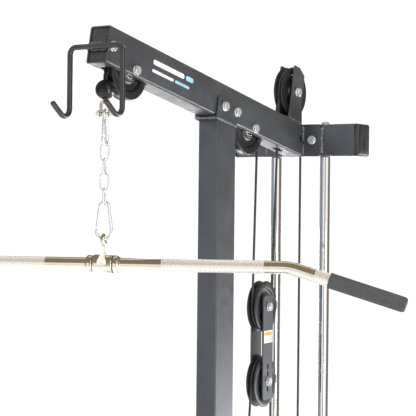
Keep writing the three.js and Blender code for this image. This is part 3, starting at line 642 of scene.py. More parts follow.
def add_base():
    low, high = extent("base_rail", "y")
    half = (high - low) / 2
    lie = shift(0, centre_of("base_rail").y, TUBE_H / 2) @ quarter("X")
    piece("base_tube", tube(TUBE_W, TUBE_H, -half, half, lie), FRAME, "base_rail")
    tab = shift(0, ANCHOR_Y, TUBE_H) @ quarter("Y")
    lug = [(2, 15), (-26, 15), *arc(-26, 0, 15, 90, 270, 10)[1:-1], (-26, -15), (2, -15)]
    piece("anchor_lug", slab(lug, -3, 3, tab), FRAME, bevel=0.7,
          cuts=rod(5, -10, 10, tab @ shift(-28), 24))
    z = TUBE_H + 0.6
    welds("anchor_welds", [((x, ANCHOR_Y - 15, z), (x, ANCHOR_Y + 15, z), 2.2, 31 + x) for x in (-4, 4)])
    for name in ("front_foot", "rear_foot"):
        middle = centre_of(name)
        reach = extent(name, "x")[1]
        piece(f"{name}_tube", tube(TUBE_H, TUBE_W, -reach, reach, shift(*middle) @ TO_X), FRAME, name)
        for side, sign in SIDES:
            end = shift(sign * reach, middle.y, middle.z) @ quarter("Y", sign)
            piece(f"{name}_cap_{side}", tube_end_cap(end, TUBE_H, TUBE_W, 4), EDGE_PLASTIC)
        inward = 1 if middle.y < 0 else -1
        y = middle.y + inward * (TUBE_W / 2 + 0.8)
        outside, flat, z = TUBE_W // 2 + 1, TUBE_W // 2 - CORNER, TUBE_H + 0.4
        beads = [((x, y, 6), (x, y, TUBE_H - 5), 2.4, x + int(middle.y)) for x in (-outside, outside)]
        beads += [((-flat, y, z), (flat, y, z), 2.2, 7)]
        welds(f"{name}_welds", beads)


def add_foot_plate():
    width, height, thickness, slot = 400, 250, 5, 70
    stand = shift(0, -190, TUBE_H + 0.9)
    face = stand @ turn(radians(-18), "X") @ quarter("X")
    panel = rounded(width, height, 14, 6, 0, height / 2)
    piece("foot_plate_panel", slab(panel, -thickness / 2, thickness / 2, face), FRAME, "foot_plate",
          cuts=slab(rounded(slot, 400, 12, 6, 0, 280), -20, 20, face), bevel=0.9)
    piece("foot_plate_treads", [
        slab(rounded(130, 6, 2.9, 4), -1, 1.6, face @ shift(side * 115, 40 + row * 28, thickness / 2))
        for side in (-1, 1) for row in range(7)
    ], BUMPER, bevel=0.5)
    piece("foot_plate_rib", [
        slab([(-1, 2), (92, 2), (24, 76)], -4, 4, stand @ TO_YZ),
        slab(rounded(120, 100, 6, 5, 0, 44), 0.2, 5, stand),
    ], FRAME, bevel=0.8)
    beads = []
    for x in (-4.6, 4.6):
        beads += [
            ((x, -186, TUBE_H + 8), (x, -168, TUBE_H + 70), 2.4, 40 + int(x)),
            ((x, -182, TUBE_H + 6.4), (x, -102, TUBE_H + 6.4), 2.4, 44 + int(x)),
        ]
    beads += [((-58, -143, TUBE_H + 3), (-58, -100, TUBE_H + 3), 1.6, 47)]
    welds("foot_plate_welds", beads)


# ---- Upright frame ----

def along_boom(along, up, x=0.0):
    """Point in the boom's own frame: from its rear end, above its underside."""
    return Vector((x, -along, up - TUBE_H))


def add_post():
    low = centre_of("low_pulley")
    piece("post_tube", tube(TUBE_W, TUBE_H, TUBE_H + GAP, TOP, shift(0, POST_Y)), FRAME, "post", cuts=[
        box((200, 400, 200), BOOM @ shift(0, -330, 100 - TUBE_H - SADDLE_UNDER + 1)),
        slab(rounded(30, 136, 13, 8), -110, 110, shift(0, POST_Y, low.z) @ quarter("X")),
        rod(5.3, -40, 40, shift(*low) @ TO_X, 24),
    ])
    length, middle = SADDLE_FRONT - SADDLE_REAR, (SADDLE_FRONT + SADDLE_REAR) / 2
    side = rounded(length, SADDLE_HEIGHT + SADDLE_UNDER, 7)
    lift = (SADDLE_HEIGHT - SADDLE_UNDER) / 2 - TUBE_H
    saddle = [slab(side, 0, 3, BOOM @ shift(x, -middle, lift) @ TO_YZ) for x in (26, -29)]
    saddle += [box((54, length, 3), BOOM @ shift(0, -middle, -TUBE_H - SADDLE_UNDER + 2))]
    piece("post_saddle", saddle, FRAME, bevel=0.9)

    def seam(start, end, seed, under=-SADDLE_UNDER - 1.2):
        return (*(along_boom(along, under, x) for along, x in (start, end)), 2.9, seed)
    beads = [seam((372, x), (292, x), 60 + int(x)) for x in (-27.4, 27.4)]
    beads += [seam((along, -24), (along, 24), int(along)) for along in (371.5, 297.5)]
    welds("saddle_welds", beads, BOOM, PALE_WELD)
    z, half = TUBE_H + 1, TUBE_W / 2 + 0.6
    beads = [((x, -28, z), (x, 39, z), 2.6, 70 + int(x)) for x in (-half, half)]
    beads += [((-21, y, z), (21, y, z), 2.6, 75 + int(y)) for y in (-32.6, 43.6)]
    welds("post_foot_welds", beads)


def add_boom():
    lie = BOOM @ shift(0, 0, -TUBE_H / 2) @ quarter("X")
    cuts = [box((200, 100, 300), shift(0, FLANGE_Y + 50 - FLANGE_THICKNESS / 2, TOP))]
    cuts += [
        slab(rounded(width, length, corner, steps, 0, -along), z - 6, z + 6, BOOM)
        for width, length, corner, steps, along, z in (
            (28, 127, 5, 4, 672.5, -TUBE_H), (28, 124, 5, 4, 211, -TUBE_H),
            (15, 34, 7, 8, 64, -TUBE_H), (15, 34, 7, 8, 80, 0),
        )
    ]
    cuts += [rod(7, -40, 40, BOOM @ shift(*along_boom(5, 40)) @ TO_X, 24)]
    piece("boom_tube", tube(TUBE_W, TUBE_H, -30, BOOM_LENGTH, lie), FRAME, "boom", cuts=cuts)
    upended = shift(0, FLANGE_Y - GAP, TOP - TUBE_H / 2) @ quarter("X")
    flange = rounded(2 * FLANGE_HALF, TUBE_H, 3, 3)
    piece("boom_flange", slab(flange, 0, FLANGE_THICKNESS, upended), FRAME, bevel=0.9)
    y = FLANGE_Y - FLANGE_THICKNESS - 1
    beads = []
    for side in (-1, 1):
        x = side * (TUBE_W / 2 + 1.6)
        for low, high, seed in ((36, 4, 80), (73, 46, 90)):
            beads += [((x, y, TOP - low), (x, y, TOP - high), 2.6, seed + side)]
    beads += [((-22, y + 1, TOP + 1), (22, y + 1, TOP + 1), 2.6, 96)]
    welds("boom_flange_welds", beads, material=PALE_WELD)


def add_crossbeam():
    middle = shift(0, CROSSBEAM_Y, TOP - TUBE_H / 2)
    half = CROSSBEAM_LENGTH / 2
    piece("crossbeam_tube", tube(TUBE_H, CROSSBEAM_DEPTH, -half, half, middle @ TO_X), FRAME,
          "crossbeam", cuts=rod(8, -60, 60, middle, 24))
    for side, sign in SIDES:
        end = middle @ shift(sign * half) @ quarter("Y", sign)
        piece(f"crossbeam_end_{side}", pillow(end, TUBE_H, CROSSBEAM_DEPTH, 5, 7), STREAKED_CAP,
              f"crossbeam_cap_{side}")
    x, y = FLANGE_HALF + 3.2, FLANGE_Y - 1.2
    welds("crossbeam_welds", [
        ((side * x, y, TOP - 68), (side * x, y, TOP - 8), 3.6, 100 + side) for side in (-1, 1)
    ], material=PALE_WELD)


def add_top_bracket():
    """Cheeks and base in the top pulley's own frame, square to the boom."""
    top = centre_of("top_pulley")
    here = shift(*top) @ turn(-BOOM_ANGLE, "X")
    rise = (top.z - TOP) * cos(BOOM_ANGLE) - (FLANGE_Y - top.y) * sin(BOOM_ANGLE)
    low, above, half, inner, thickness = GAP - rise, 59, 24.5, 16, 4
    outline = [
        (-half, low), (half, low), (half, above - 13), (half - 25, above),
        *arc(4 - half, above - 4, 4, 90, 180, 4),
    ]
    piece("top_bracket", [
        slab(outline, 0, thickness, here @ shift(inner) @ TO_YZ),
        slab(outline, 0, thickness, here @ shift(-inner - thickness) @ TO_YZ),
        box((2 * inner + 2, 2 * half, 6), here @ shift(0, 0, low + 3)),
    ], FRAME, "top_pulley_bracket", bevel=0.9)
    x = inner + thickness + 1
    welds("top_bracket_welds", [
        ((side * x, 1 - half, low + 1), (side * x, half - 1, low + 1), 1.8, 110 + side * x)
        for side in (-1, 1)
    ], here, PALE_WELD)


def add_rods():
    foot = TUBE_H + GAP
    low, high = extent("guide_rod_left", "z")
    piece("rod_foot_plate", slab(rounded(190, 60, 8), foot, foot + 10, shift(0, CROSSBEAM_Y)), FRAME,
          "rod_base_plate", bevel=1.0)
    dome = [
        (0, 1.8), (9.4, 1.8), (9.6, 2.6), (8.8, 5), (6.8, 7.2), (4.2, 8.3), (3.4, 8.3), (3.1, 5.4),
        (0, 5.2),
    ]
    bumper = [
        (13.2, 0), (24, 0), (25, 1), (25, 12), (23.6, 15), (23.6, 18), (25, 21), (25, 37), (23, 42),
        (19, 45), (13.2, 45),
    ]
    for side, sign in SIDES:
        m = shift(sign * ROD_X, CROSSBEAM_Y)
        piece(f"rod_{side}", rod(ROD_RADIUS, low, high, m, 64, 1.0), CHROME, f"guide_rod_{side}")
        piece(f"rod_cap_bolt_{side}", [
            ring(4, 11, TOP + GAP, TOP + 1.8, m, 40, 0.3), lathe(dome, m @ shift(0, 0, TOP)),
        ], ZINC, f"rod_bolt_{side}")
        piece(f"stop_bumper_{side}", lathe(bumper, m @ shift(0, 0, foot + 10 + GAP), closed=True),
              BUMPER, f"bumper_{side}", sharp=50)


# ---- Bar hook ----

def hook_points():
    corner = arc(HOOK_HALF - HOOK_TURN, HOOK_TOP - HOOK_TURN, HOOK_TURN, 90, 0, 8)
    lower = arc(HOOK_Y - 16, HOOK_BOTTOM + 12, 16, 0, -128, 16)
    rise = radians(38)
    tip = (lower[-1][0] - 36 * cos(rise), lower[-1][1] + 36 * sin(rise))
    right = upright(corner, HOOK_Y) + [Vector((HOOK_HALF, y, z)) for y, z in [*lower, tip]]
    return [Vector((-p.x, p.y, p.z)) for p in reversed(right)] + right


def add_bar_hook():
    piece("hook_wire", sweep(hook_points(), HOOK_WIRE, sides=24, domed=True), SATIN_BLACK, "bar_hook",
          sharp=60)
    end = BOOM @ shift(0, -BOOM_LENGTH, -TUBE_H / 2) @ quarter("X")
    piece("boom_end_plug", slab(tube_inside(TUBE_W, TUBE_H, 2.6, 4), -26, -2.2, end), SATIN_BLACK,
          bevel=1.2)
    face = HOOK_Y + HOOK_WIRE
    welds("hook_welds", [
        ((-half, y, z), (half, y, z), radius, seed) for half, y, z, radius, seed in (
            (19, face - 1.8, HOOK_TOP + 5.5, 3.4, 120), (19, face - 1.2, HOOK_TOP - 5.6, 3.4, 121),
            (17, face + 0.4, HOOK_TOP, 3.6, 125),
        )
    ], slot="satin_black")


# ---- Pulleys and bolts in place ----

def add_frame_pulleys():
    for label, inner, grip in (("front", 22, 25), ("mid", 22, 25), ("top", 16, 20), ("low", 22, 25)):
        m = shift(*centre_of(f"{label}_pulley"))
        pulley(label, f"{label}_pulley", f"{label}_sheave", m, inner)
        bolt(f"{label}_axle", m, grip, "frame", f"{label}_pulley_bolt", spin=0.2 + 0.3 * len(label))


def add_frame_bolts():
    for name, along, up, grip in (
        ("saddle_bolt_front", 347.5, SADDLE_BOLT_UP, 29.2),
        ("saddle_bolt_rear", 298.5, SADDLE_BOLT_UP, 29.2), ("hook_bolt", 752.5, 36, 25),
    ):
        m = BOOM @ shift(*along_boom(along, up))
        bolt(f"{name}_hex", m, grip, "frame", name, spin=0.15 * len(name))
    depth = CROSSBEAM_DEPTH + FLANGE_THICKNESS + GAP
    for side, sign in SIDES:
        m = shift(sign * FLANGE_BOLT_X, CROSSBEAM_Y - 2.65, TOP - FLANGE_BOLT_DOWN) @ quarter("Z", -1)
        bolt(f"flange_bolt_{side}_hex", m, depth / 2, "frame", f"flange_bolt_{side}", spin=0.3)


def add_floating_block():
    half, thickness, inner, low, high = 25.5, 4, 12.5, 1366, 1604
    outline = [
        (-half, low + 6), (6 - half, low), (half - 6, low), (half, low + 6),
        (half, high - 6), (half - 6, high), (6 - half, high), (-half, high - 6),
    ]
    lower = centre_of("floater_lower_pulley").z
    for side, x in (("left", -inner - thickness), ("right", inner)):
        m = BLOCK @ shift(x) @ TO_YZ
        holes = [slab(rounded(7, 12, 3.4, 6, 0, lower + z), -10, 20, m) for z in (17, 34, -17)]
        piece(f"block_plate_{side}", slab(outline, 0, thickness, m), FRAME, f"floater_plate_{side}",
              "floater", cuts=holes, bevel=0.9)
    face = BLOCK @ shift(inner + thickness) @ TO_YZ
    lines = [rounded(36 - 6 * row, 1.2, 0.5, 2, 3 * row, 1509 - 4 * row) for row in range(3)]
    for name, outlines, bottom, top, material in (
        ("", [rounded(44, 28, 2, 5, 0, 1510)], 0.02, 0.25, LABEL_WHITE),
        ("_band", [rounded(40, 8, 1.5, 4, 0, 1517)], 0.2, 0.42, LABEL_ORANGE),
        ("_lines", lines, 0.2, 0.38, LABEL_GREY),
    ):
        printed(f"block_label{name}", outlines, bottom, top, face, material, "floater")
    for label in ("upper", "lower"):
        node = f"floater_{label}"
        m = BLOCK @ shift(0, 0, centre_of(f"{node}_pulley").z)
        pulley(f"block_{label}", f"{node}_pulley", f"{node}_sheave", m, inner)
        bolt(f"block_{label}_bolt", m, inner + thickness, "floater", f"{node}_bolt", spin=0.4)


# ---- Stop balls, straps, carabiners and chain ----

def stop_ball(label, m):
    r = BALL_RADIUS
    profile = [
        (0, -r - 0.1), (4.4, -r), (6.6, -r + 0.6), (7.2, -r + 1.6), *arc(0, 0, r, -64, -4, 10),
        (r, -0.5), (r + 0.12, -0.3), (r + 0.12, 0.3), (r, 0.5), *arc(0, 0, r, 4, 70, 11),
        (5.0, r - 0.9), (4.7, r), (4.6, r + 9.6), (3.9, r + 11), (0, r + 11),
    ]
    piece(f"{label}_ball", lathe(profile, m, 56), GLOSS_BLACK, f"{label}_stop_ball", f"{label}_end",
          sharp=50)


def strap(label, m, body):
    """Bent strip hanging from the ball, its bolt, and the cable's swaged ferrule."""
    thickness, width, inner, length = 3, 14, 7, 33
    outer = inner + thickness
    outline = [
        (outer, -length), *arc(0, -outer, outer, 0, 180, 14), (-outer, -length),
        (-inner, -length), *arc(0, -outer, inner, 180, 0, 14), (inner, -length),
    ]
    piece(f"{label}_strap", slab(outline, -width / 2, width / 2, m @ quarter("X")), STRAP,
          f"{label}_shackle", body, bevel=0.7)
    bolt(f"{label}_strap_bolt", m @ shift(0, 0, 6 - length), outer, body, f"{label}_shackle_bolt",
         across=13, head=5.5, nut=6, shank=4, washer=1.0, spin=0.3)
    ferrule = [(0, -9.4), (3.6, -9.4), (4.2, -8.6), (4.2, -3.6), (0, -3.6)]
    piece(f"{label}_ferrule", lathe(ferrule, m, 24), HUB, body=body)


def carabiner(label, m):
    """Open hoop of two arcs, and the sprung gate that closes it."""
    top_radius, bottom_radius = 12.5 - CARABINER_WIRE, 18.5 - CARABINER_WIRE
    top_z = CARABINER_HEIGHT / 2 - CARABINER_WIRE - top_radius
    bottom_z = bottom_radius + CARABINER_WIRE - CARABINER_HEIGHT / 2
    tilt = degrees(asin((bottom_radius - top_radius) / (top_z - bottom_z)))
    upper = upright(arc(0, top_z, top_radius, 180 - tilt, tilt, 20))
    lower = upright(arc(0, bottom_z, bottom_radius, tilt, -180 - tilt, 30))
    nose, heel = upper[0], lower[-1]
    side = nose - heel
    hoop = [nose - side * 0.02, *upper, *lower, heel + side * 0.06]
    piece(f"{label}_clip_hoop", sweep(hoop, CARABINER_WIRE, m, 20, domed=True), CHAIN_ZINC,
          f"{label}_carabiner", f"{label}_clip", sharp=60)
    along = side.normalized()
    start, end = heel + side * 0.085, heel + side * 0.965
    piece(f"{label}_clip_gate_bar", [
        sweep([start, start.lerp(end, 0.5), end], 2.8, m, 20, domed=True),
        rod(1.3, -3.6, 3.6, m @ shift(*(start + along * 3)) @ quarter("X"), 16, 0.3),
        ring(1.2, 3.1, -1.2, 1.2, m @ shift(*(end - along * 2.4)), 20, 0.3),
    ], CHAIN_ZINC, f"{label}_carabiner_gate", f"{label}_clip_gate", sharp=50)


def chain_link(index, m):
    length, width, wire = 37, 20, 2
    radius, reach = width / 2 - wire, length / 2 - width / 2
    loop = upright(arc(0, reach, radius, 0, 180, 14) + arc(0, -reach, radius, 180, 360, 14))
    swelling = upright([(radius, -1.5), (radius, 0), (radius, 1.5)])
    piece(f"link_{index}_ring", [
        sweep(loop, wire, m, closed=True), sweep(swelling, [wire + 0.1, wire + 0.3, wire + 0.1], m),
    ], CHAIN_ZINC, f"chain_link_{index}", f"link_{index}", sharp=60)


def add_hanger():
    def hung(node, spin=0.0):
        return HANGER @ shift(0, 0, centre_of(node).z) @ turn(spin, "Z")
    ball = hung("lat_stop_ball")
    stop_ball("lat", ball)
    strap("lat", ball @ shift(0, 0, -BALL_RADIUS - GAP), "lat_strap")
    carabiner("upper", hung("upper_carabiner", pi / 2))
    carabiner("lower", hung("lower_carabiner"))
    for index in range(1, 5):
        chain_link(index, hung(f"chain_link_{index}", 0 if index % 2 else pi / 2))


# ---- Lat bar ----

# Radius and place along the bar, in mm.
COLLAR = [
    (12.6, 20.3), (15.7, 20.3), (15.7, 20.8), (16.8, 21.1), (17.4, 21.9), (17.4, 30.2), (17.0, 31),
    (14.2, 33.8), (13.4, 34.3), (12.6, 34.3),
]
BARREL = mirrored([(13.3, -20), (15.7, -20), (15.7, -19.6), (17.9, -19.3), (SLEEVE_RADIUS, -18.5)])
GRIP = [
    (13, 0), (14.9, 0), (15.6, 0.8), (15.6, 3.2), (15.0, 4.2), (14.9, GRIP_LENGTH - 9),
    (14.5, GRIP_LENGTH - 5.4), (13.3, GRIP_LENGTH - 2.5), (11, GRIP_LENGTH - 0.8),
    (8, GRIP_LENGTH - 0.1), (0, GRIP_LENGTH), (0, GRIP_LENGTH - 3), (13, GRIP_LENGTH - 3),
]
# Height, half width and half depth of the neck on the swivel, in mm.
NECK = [
    (0, 16, 19), (2, 14.4, 19.2), (4.5, 12, 19.3), (8.3, 9, 19.2), (11.5, 6.8, 18.7), (14.7, 5.2, 17.2),
    (19.8, 3.9, 12.8), (24, 3.3, 9), (28, 2.9, 6.2), (33, 2.7, 4), (39.4, 2.6, 3),
]


def bar_end(distance):
    """Point on the drooping end of the bar, `distance` along it from the middle."""
    beyond = distance - BAR_BEND_AT
    return Vector((BAR_BEND_AT + beyond * cos(BAR_DROOP), 0, -beyond * sin(BAR_DROOP)))


def add_lat_bar():
    low, high = extent("bar_sleeve", "z")
    z = low + SLEEVE_RADIUS
    m = HANGER @ shift(0, 0, z)
    sleeve, inverse = m @ TO_X, m.inverted()
    radius = 90
    setback = radius * tan(BAR_DROOP / 2)
    bend = arc(BAR_BEND_AT - setback, -radius, radius, 90, 90 - degrees(BAR_DROOP), 12)
    right = upright([(x, 0) for x in (0, 36, 116, 116.5, 316.5, 317)] + bend)
    right += [bar_end(d) for d in (414.5, 415, 442.5, 443.5, BAR_REACH - 4)]
    left = [Vector((-p.x, 0, p.z)) for p in reversed(right[1:])]

    # Faces in the gap beside each collar get number 2, the painted groove shade.
    def zone(middle):
        spot = abs((inverse @ middle).x)
        if 20 < spot < 20.9:
            return 2
        return 1 if 116.3 < spot < 316.7 or bar_end(415).x < spot < bar_end(443).x else 0
    bar = [sweep(left + right, BAR_RADIUS, m, 40)]
    bar += [lathe([(r, side * x) for r, x in COLLAR], sleeve, closed=True) for side in (-1, 1)]
    piece("bar_tube", bar, [NICKEL, KNURL, GROOVE_SHADE], "lat_bar", "bar", paint=zone, sharp=40)
    eye_radius, eye_wire = 9, 4
    eye = upright(arc(0, high - z - eye_radius - eye_wire, eye_radius, -90, 258, 29))
    piece("bar_swivel", [
        lathe(BARREL, sleeve, 64, closed=True), sweep(eye, eye_wire, m @ quarter("Z"), 20, closed=True),
    ], [NICKEL, GROOVE_SHADE], "bar_sleeve", "eye", sharp=40,
          cuts=rod(13.35, -40, 40, sleeve, 64),
          # The barrel's end faces by the collars get the painted groove shade too.
          paint=lambda middle: 1 if 19.4 < abs((inverse @ middle).x) < 20.1 else 0)
    neck = [(rounded(2 * a, 2 * b, 0.6 * min(a, b)), height) for height, a, b in NECK]
    # The neck's near-white nickel is a painted sheen in place of its highlight.
    piece("bar_swivel_neck", stack(neck, m), SHEEN_NICKEL, body="eye", sharp=40,
          cuts=rod(SLEEVE_RADIUS - GAP, -40, 40, sleeve, 64))
    rivet = rod(2.6, 18.6, 19.9, m @ shift(0, 0, 2.4) @ quarter("X"), 20, 0.4)
    piece("bar_swivel_rivet", rivet, ZINC, body="eye", slot="nickel")
    start = bar_end(BAR_REACH - GRIP_LENGTH)
    for side, sign in SIDES:
        place = m @ shift(sign * start.x, 0, start.z) @ turn(sign * (pi / 2 + BAR_DROOP), "Y")
        piece(f"bar_grip_{side}", lathe(GRIP, place, closed=True), RUBBER, f"grip_{side}", "bar",
              sharp=50)


# ---- Low row end ----

def add_row_end():
    ball = shift(*centre_of("row_stop_ball")) @ quarter("X", -1)
    stop_ball("row", ball)
    strap("row", ball @ shift(0, 0, -BALL_RADIUS - GAP), "row_end")
    y, z = centre_of("row_shackle_bolt").y, centre_of("row_carabiner").z
    carabiner("row", shift(0, y, z) @ quarter("Z"))


# ---- Carriage ----

def add_carriage():
    base = extent("carriage", "z")[0]
    here = shift(0, CROSSBEAM_Y, base)
    height, block_height, half_depth, horn_z = 200, 150, 22, 232
    low, high = (height - block_height) / 2, (height + block_height) / 2
    block = rounded(2 * ROD_X - 20, 2 * half_depth, 5, 5)
    piece("carriage_block", slab(block, low, high, here), FRAME, "carriage", "carriage", bevel=1.2)
    rods = [here @ shift(-ROD_X), here @ shift(ROD_X)]
    piece("carriage_sleeves", [ring(13, 20, 0, height, m, 56, 1.0) for m in rods], FRAME, body="carriage")
    bushes = [ring(12.9, 18, z, z + 2, m, 48, 0.4) for m in rods for z in (-0.8, height - 1.2)]
    piece("carriage_bushes", bushes, EDGE_PLASTIC, body="carriage")
    beads = []
    for side in (-1, 1):
        x = side * (ROD_X - 14.4)
        for y in (-half_depth - 0.4, half_depth + 0.4):
            beads += [((x, y * 0.62, 26), (x, y * 0.62, 174), 3.2, 130 + side)]
    welds("carriage_welds", beads, here, body="carriage")
    start, end = ROD_X + 26, 340
    horn = [
        (0, 78), (24, 78), (24, end - 26), (24, end - 4), (22.6, end - 1.4),
        (20, end), (19.4, end), (19.4, end - 1.5), (0, end - 1.5),
    ]
    disc = [
        (24.1, start), (58.6, start), (60, start + 1.4), (60, start + 6.6), (58.6, start + 8),
        (24.1, start + 8),
    ]
    fillet = [(24.1, start + 8), (29, start + 8), (24.1, start + 13)]
    plug = [(0, end - 3), (19.2, end - 3), (19.2, end - 0.9), (17.6, end - 0.2), (0, end + 0.1)]
    for side, sign in SIDES:
        m = here @ shift(0, 0, horn_z - base) @ quarter("Y", sign)
        flange = [lathe(disc, m, 64, closed=True), lathe(fillet, m, closed=True)]
        piece(f"horn_{side}", lathe(horn, m, 56), CHROME, body="carriage")
        piece(f"horn_flange_{side}", flange, FRAME, body="carriage")
        piece(f"horn_plug_{side}", lathe(plug, m), EDGE_PLASTIC, body="carriage")
    socket = [(0, -1), (13, -1), (13, 4), (9, 6), (9, 17), (8, 18), (5, 18), (4.4, 17), (0, 17)]
    piece("carriage_cable_socket", lathe(socket, here @ shift(0, 0, high), 40), ZINC, body="carriage")


# ---- Cables ----

class Stop:
    """An end of the cable, or a pulley it runs round: way is 1 anticlockwise seen from +X, -1 clockwise."""

    def __init__(self, middle, body="frame", way=0, yaw=0.0):
        self.middle, self.body, self.way, self.yaw = Vector(middle), body, way, yaw
        self.radius = ROUTE_RADIUS * abs(way)


def heading(a, b):
    """Angle above +Y of the straight run between two stops."""
    dy, dz = b.middle.y - a.middle.y, b.middle.z - a.middle.z
    offset = b.way * b.radius - a.way * a.radius
    return atan2(dz, dy) - asin(offset / hypot(dy, dz))


def wrap(stop, arriving, leaving):
    """Points round a pulley."""
    first = arriving - stop.way * pi / 2
    swing = (leaving - arriving) * stop.way % tau
    steps = max(6, round(swing / radians(5)))
    turned = shift(*stop.middle) @ turn(stop.yaw, "Z")
    angles = [first + stop.way * swing * i / steps for i in range(steps + 1)]
    return [turned @ Vector((0, stop.radius * cos(a), stop.radius * sin(a))) for a in angles]


def run_cable(label, stops):
    """One piece round each pulley and one along each straight run between two stops."""
    def strand(name, points, **details):
        piece(f"{label}_{name}", sweep(points, CABLE_RADIUS, sides=14), CABLE, **details)
    headings = [heading(a, b) for a, b in zip(stops, stops[1:])]
    wraps = [
        wrap(stop, headings[i - 1], headings[i]) if stop.way else [stop.middle]
        for i, stop in enumerate(stops)
    ]
    for i, stop in enumerate(stops):
        if stop.way:
            strand(f"wrap_{i}", wraps[i], body=stop.body, replaces=label if i == 1 else None)
    for i, (a, b) in enumerate(zip(stops, stops[1:])):
        ends = [wraps[i][-1], wraps[i + 1][0]]
        moving = b if a.body == "frame" else a
        fixed, free = ends if moving is b else ends[::-1]
        blend = (moving.body, fixed, free) if moving.body != "frame" else None
        strand(f"run_{i}", ends, blend=blend)


def add_cables():
    ball, row = centre_of("lat_stop_ball"), centre_of("row_stop_ball")
    anchor_z = extent("row_cable", "z")[0]

    def wheel(node, way, body="frame", yaw=0.0):
        return Stop(centre_of(f"{node}_pulley"), body, way, yaw)
    run_cable("lat_cable", [
        Stop(ball + Vector((0, 0, BALL_RADIUS - 3)), "lat_end"),
        wheel("front", -1), wheel("mid", -1), wheel("floater_upper", 1, "floater", BLOCK_YAW),
        wheel("top", -1), Stop((0, CROSSBEAM_Y, extent("carriage", "z")[1] - 6), "carriage"),
    ])
    run_cable("row_cable", [
        Stop(row + Vector((0, BALL_RADIUS - 3, 0)), "row_end"),
        wheel("low", 1), wheel("floater_lower", -1, "floater", BLOCK_YAW),
        Stop((ANCHOR_X, ANCHOR_Y, anchor_z)),
    ])
    m = shift(ANCHOR_X, ANCHOR_Y, anchor_z)
    piece("anchor_ferrule", ring(2.7, 4.6, 2, 30, m, 28, 0.4), HUB)


# ---- Mark on the boom ----

def add_boom_mark():
    """Plain bars, each given by its place along and up the boom, its length and its height."""
    face = BOOM @ shift(TUBE_W / 2) @ TO_YZ
    for colour, material, bars in (
        ("white", LABEL_WHITE, [(560, 46, 112, 10), (578, 28, 76, 6)]),
        ("blue", LABEL_BLUE, [(484, 46, 28, 10), (508, 28, 52, 6)]),
    ):
        outlines = [
            rounded(length, height, height / 2 - 0.1, 6, -along, up - TUBE_H)
            for along, up, length, height in bars
        ]
        printed(f"boom_mark_{colour}", outlines, 0.02, 0.2, face, material)


# ---- Stage ----

# What the metal reflects at eye level: [azimuth in degrees, colour].
HORIZON = [
    (-180, (0.26, 0.28, 0.29)), (-165, (0.42, 0.44, 0.44)), (-150, (0.2, 0.22, 0.23)),
    (-121, (0.24, 0.26, 0.27)), (-112, (1, 1, 1)), (-74, (1, 1, 1)), (-66, (0.42, 0.43, 0.4)),
    (-46, (0.42, 0.43, 0.4)), (-38, (1, 1, 1)), (2, (1, 1, 1)), (12, (0.2, 0.155, 0.11)),
    (60, (0.22, 0.18, 0.14)), (104, (0.55, 0.53, 0.5)), (112, (1, 1, 1)), (132, (1, 1, 1)),
    (142, (0.2, 0.22, 0.23)),
]
LOW_WALL, CEILING = (1.0, 0.99, 0.97, 1), (0.27, 0.205, 0.125, 1)
# A pale patch overhead: the way to its middle, and its colour.
PATCH_WAY, PATCH = (-0.188, 0.285, 0.94), (0.72, 0.69, 0.64, 1)
WHITE = (1, 1, 1, 1)
PALE_BLUE = (0.9, 0.95, 1.0)


def studio_world():
    """White backdrop and floor, with a banded horizon and a brown ceiling for reflections."""
    world = bpy.data.worlds.new("studio")
    bpy.context.scene.world = world
    world.use_nodes = True
    world.node_tree.nodes.clear()
    w = Tree(world.node_tree)

    def blend(value, low, high, first, second):
        """Goes from `first` to `second` as the value goes from low to high."""
        inputs = {"Factor": w.span(value, low, high), "A": first, "B": second}
        return w.add("Mix", inputs, "Result", data_type="RGBA")
    where = w.add("TexCoord", {}, "Generated")
    split = w.add("SeparateXYZ", {"Vector": where}).outputs
    azimuth = w.add("Math", {0: split["Y"], 1: split["X"]}, "Value", operation="ARCTAN2")
    stops = [(angle / 360 + 0.5, colour) for angle, colour in HORIZON]
    bands = w.ramp(w.span(azimuth, -pi, pi), stops)
    wall = blend(split["Z"], -0.34, -0.22, LOW_WALL, bands)
    room = blend(split["Z"], 0.1, 0.26, wall, CEILING)
    overhead = w.add("VectorMath", {0: where, 1: PATCH_WAY}, "Value", operation="DOT_PRODUCT")
    studio = w.add("Background", {"Color": blend(overhead, 0.93, 0.97, room, PATCH)}, "Background")
    white = w.add("Background", {"Color": WHITE, "Strength": 1.05}, "Background")
    seen = w.add("LightPath", {}, "Is Camera Ray")
    w.add("OutputWorld", {"Surface": w.add("MixShader", {"Fac": seen, 1: studio, 2: white}, "Shader")})


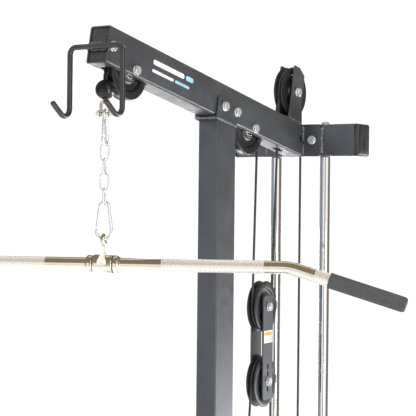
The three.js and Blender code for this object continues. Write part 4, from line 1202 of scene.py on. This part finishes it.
def add_light(name, place, target, size, power, colour=(1, 1, 1), mirrored=True):
    data = bpy.data.lights.new(name, "AREA")
    data.shape = "RECTANGLE"
    data.size, data.size_y = size
    data.energy, data.color = power, colour
    light = placed(name, data)
    light.location = place
    light.visible_glossy, light.visible_camera = mirrored, False
    light.rotation_euler = (Vector(target) - Vector(place)).to_track_quat("-Z", "Y").to_euler()


def add_stage():
    floor = placed("floor", mesh_of("floor", lathe([(0, -2.0), (7000, -2.0)], sides=64)))
    pale = Surface("pale_floor", (0.62, 0.62, 0.63), 0.7)
    pale.set({"Emission Color": LOW_WALL, "Emission Strength": 0.42})
    floor.data.materials.append(pale.material)
    studio_world()
    middle = (0, 0, 1.75)
    add_light("key", (3.2, -1.6, 3.4), middle, (1.6, 2.2), 30)
    add_light("edge_strip", (2.4, -0.9, 0.9), (0, 0, 1.0), (0.3, 1.6), 20)
    add_light("left_fill", (-2.4, -2.6, 3.9), middle, (1.6, 1.6), 220, PALE_BLUE, False)
    add_light("top", (0.3, -0.2, 4.4), middle, (2.4, 2.4), 70, PALE_BLUE, False)
    add_light("rear", (-1.5, 3.0, 2.6), middle, (1.6, 2.0), 30)
    add_light("low_side", (2.1, 3.0, 0.3), (0.1, 0.1, 1.3), (3.4, 0.4), 120, (0.92, 0.95, 1.0))
    add_light("low_back", (-3.0, 3.7, 0.2), (0, -0.3, 2.0), (3.2, 3.2), 108)
    bpy.context.scene.view_settings.view_transform = "Standard"


def add_camera():
    data = bpy.data.cameras.new("camera")
    data.sensor_width, data.lens, data.clip_end = 36, 125.64, 60
    camera = placed("camera", data)
    pan, pitch, roll = radians(33.44), radians(90.05), radians(0.61)
    facing = turn(pan, "Z") @ turn(pitch, "X") @ turn(roll, "Z")
    camera.matrix_world = shift(1.7213, -2.6345, 1.7985) @ facing
    bpy.context.scene.camera = camera


add_camera()
add_base()
add_foot_plate()
add_post()
add_boom()
add_crossbeam()
add_top_bracket()
add_rods()
add_bar_hook()
add_frame_pulleys()
add_frame_bolts()
add_floating_block()
add_hanger()
add_lat_bar()
add_row_end()
add_carriage()
add_cables()
add_boom_mark()
add_stage()
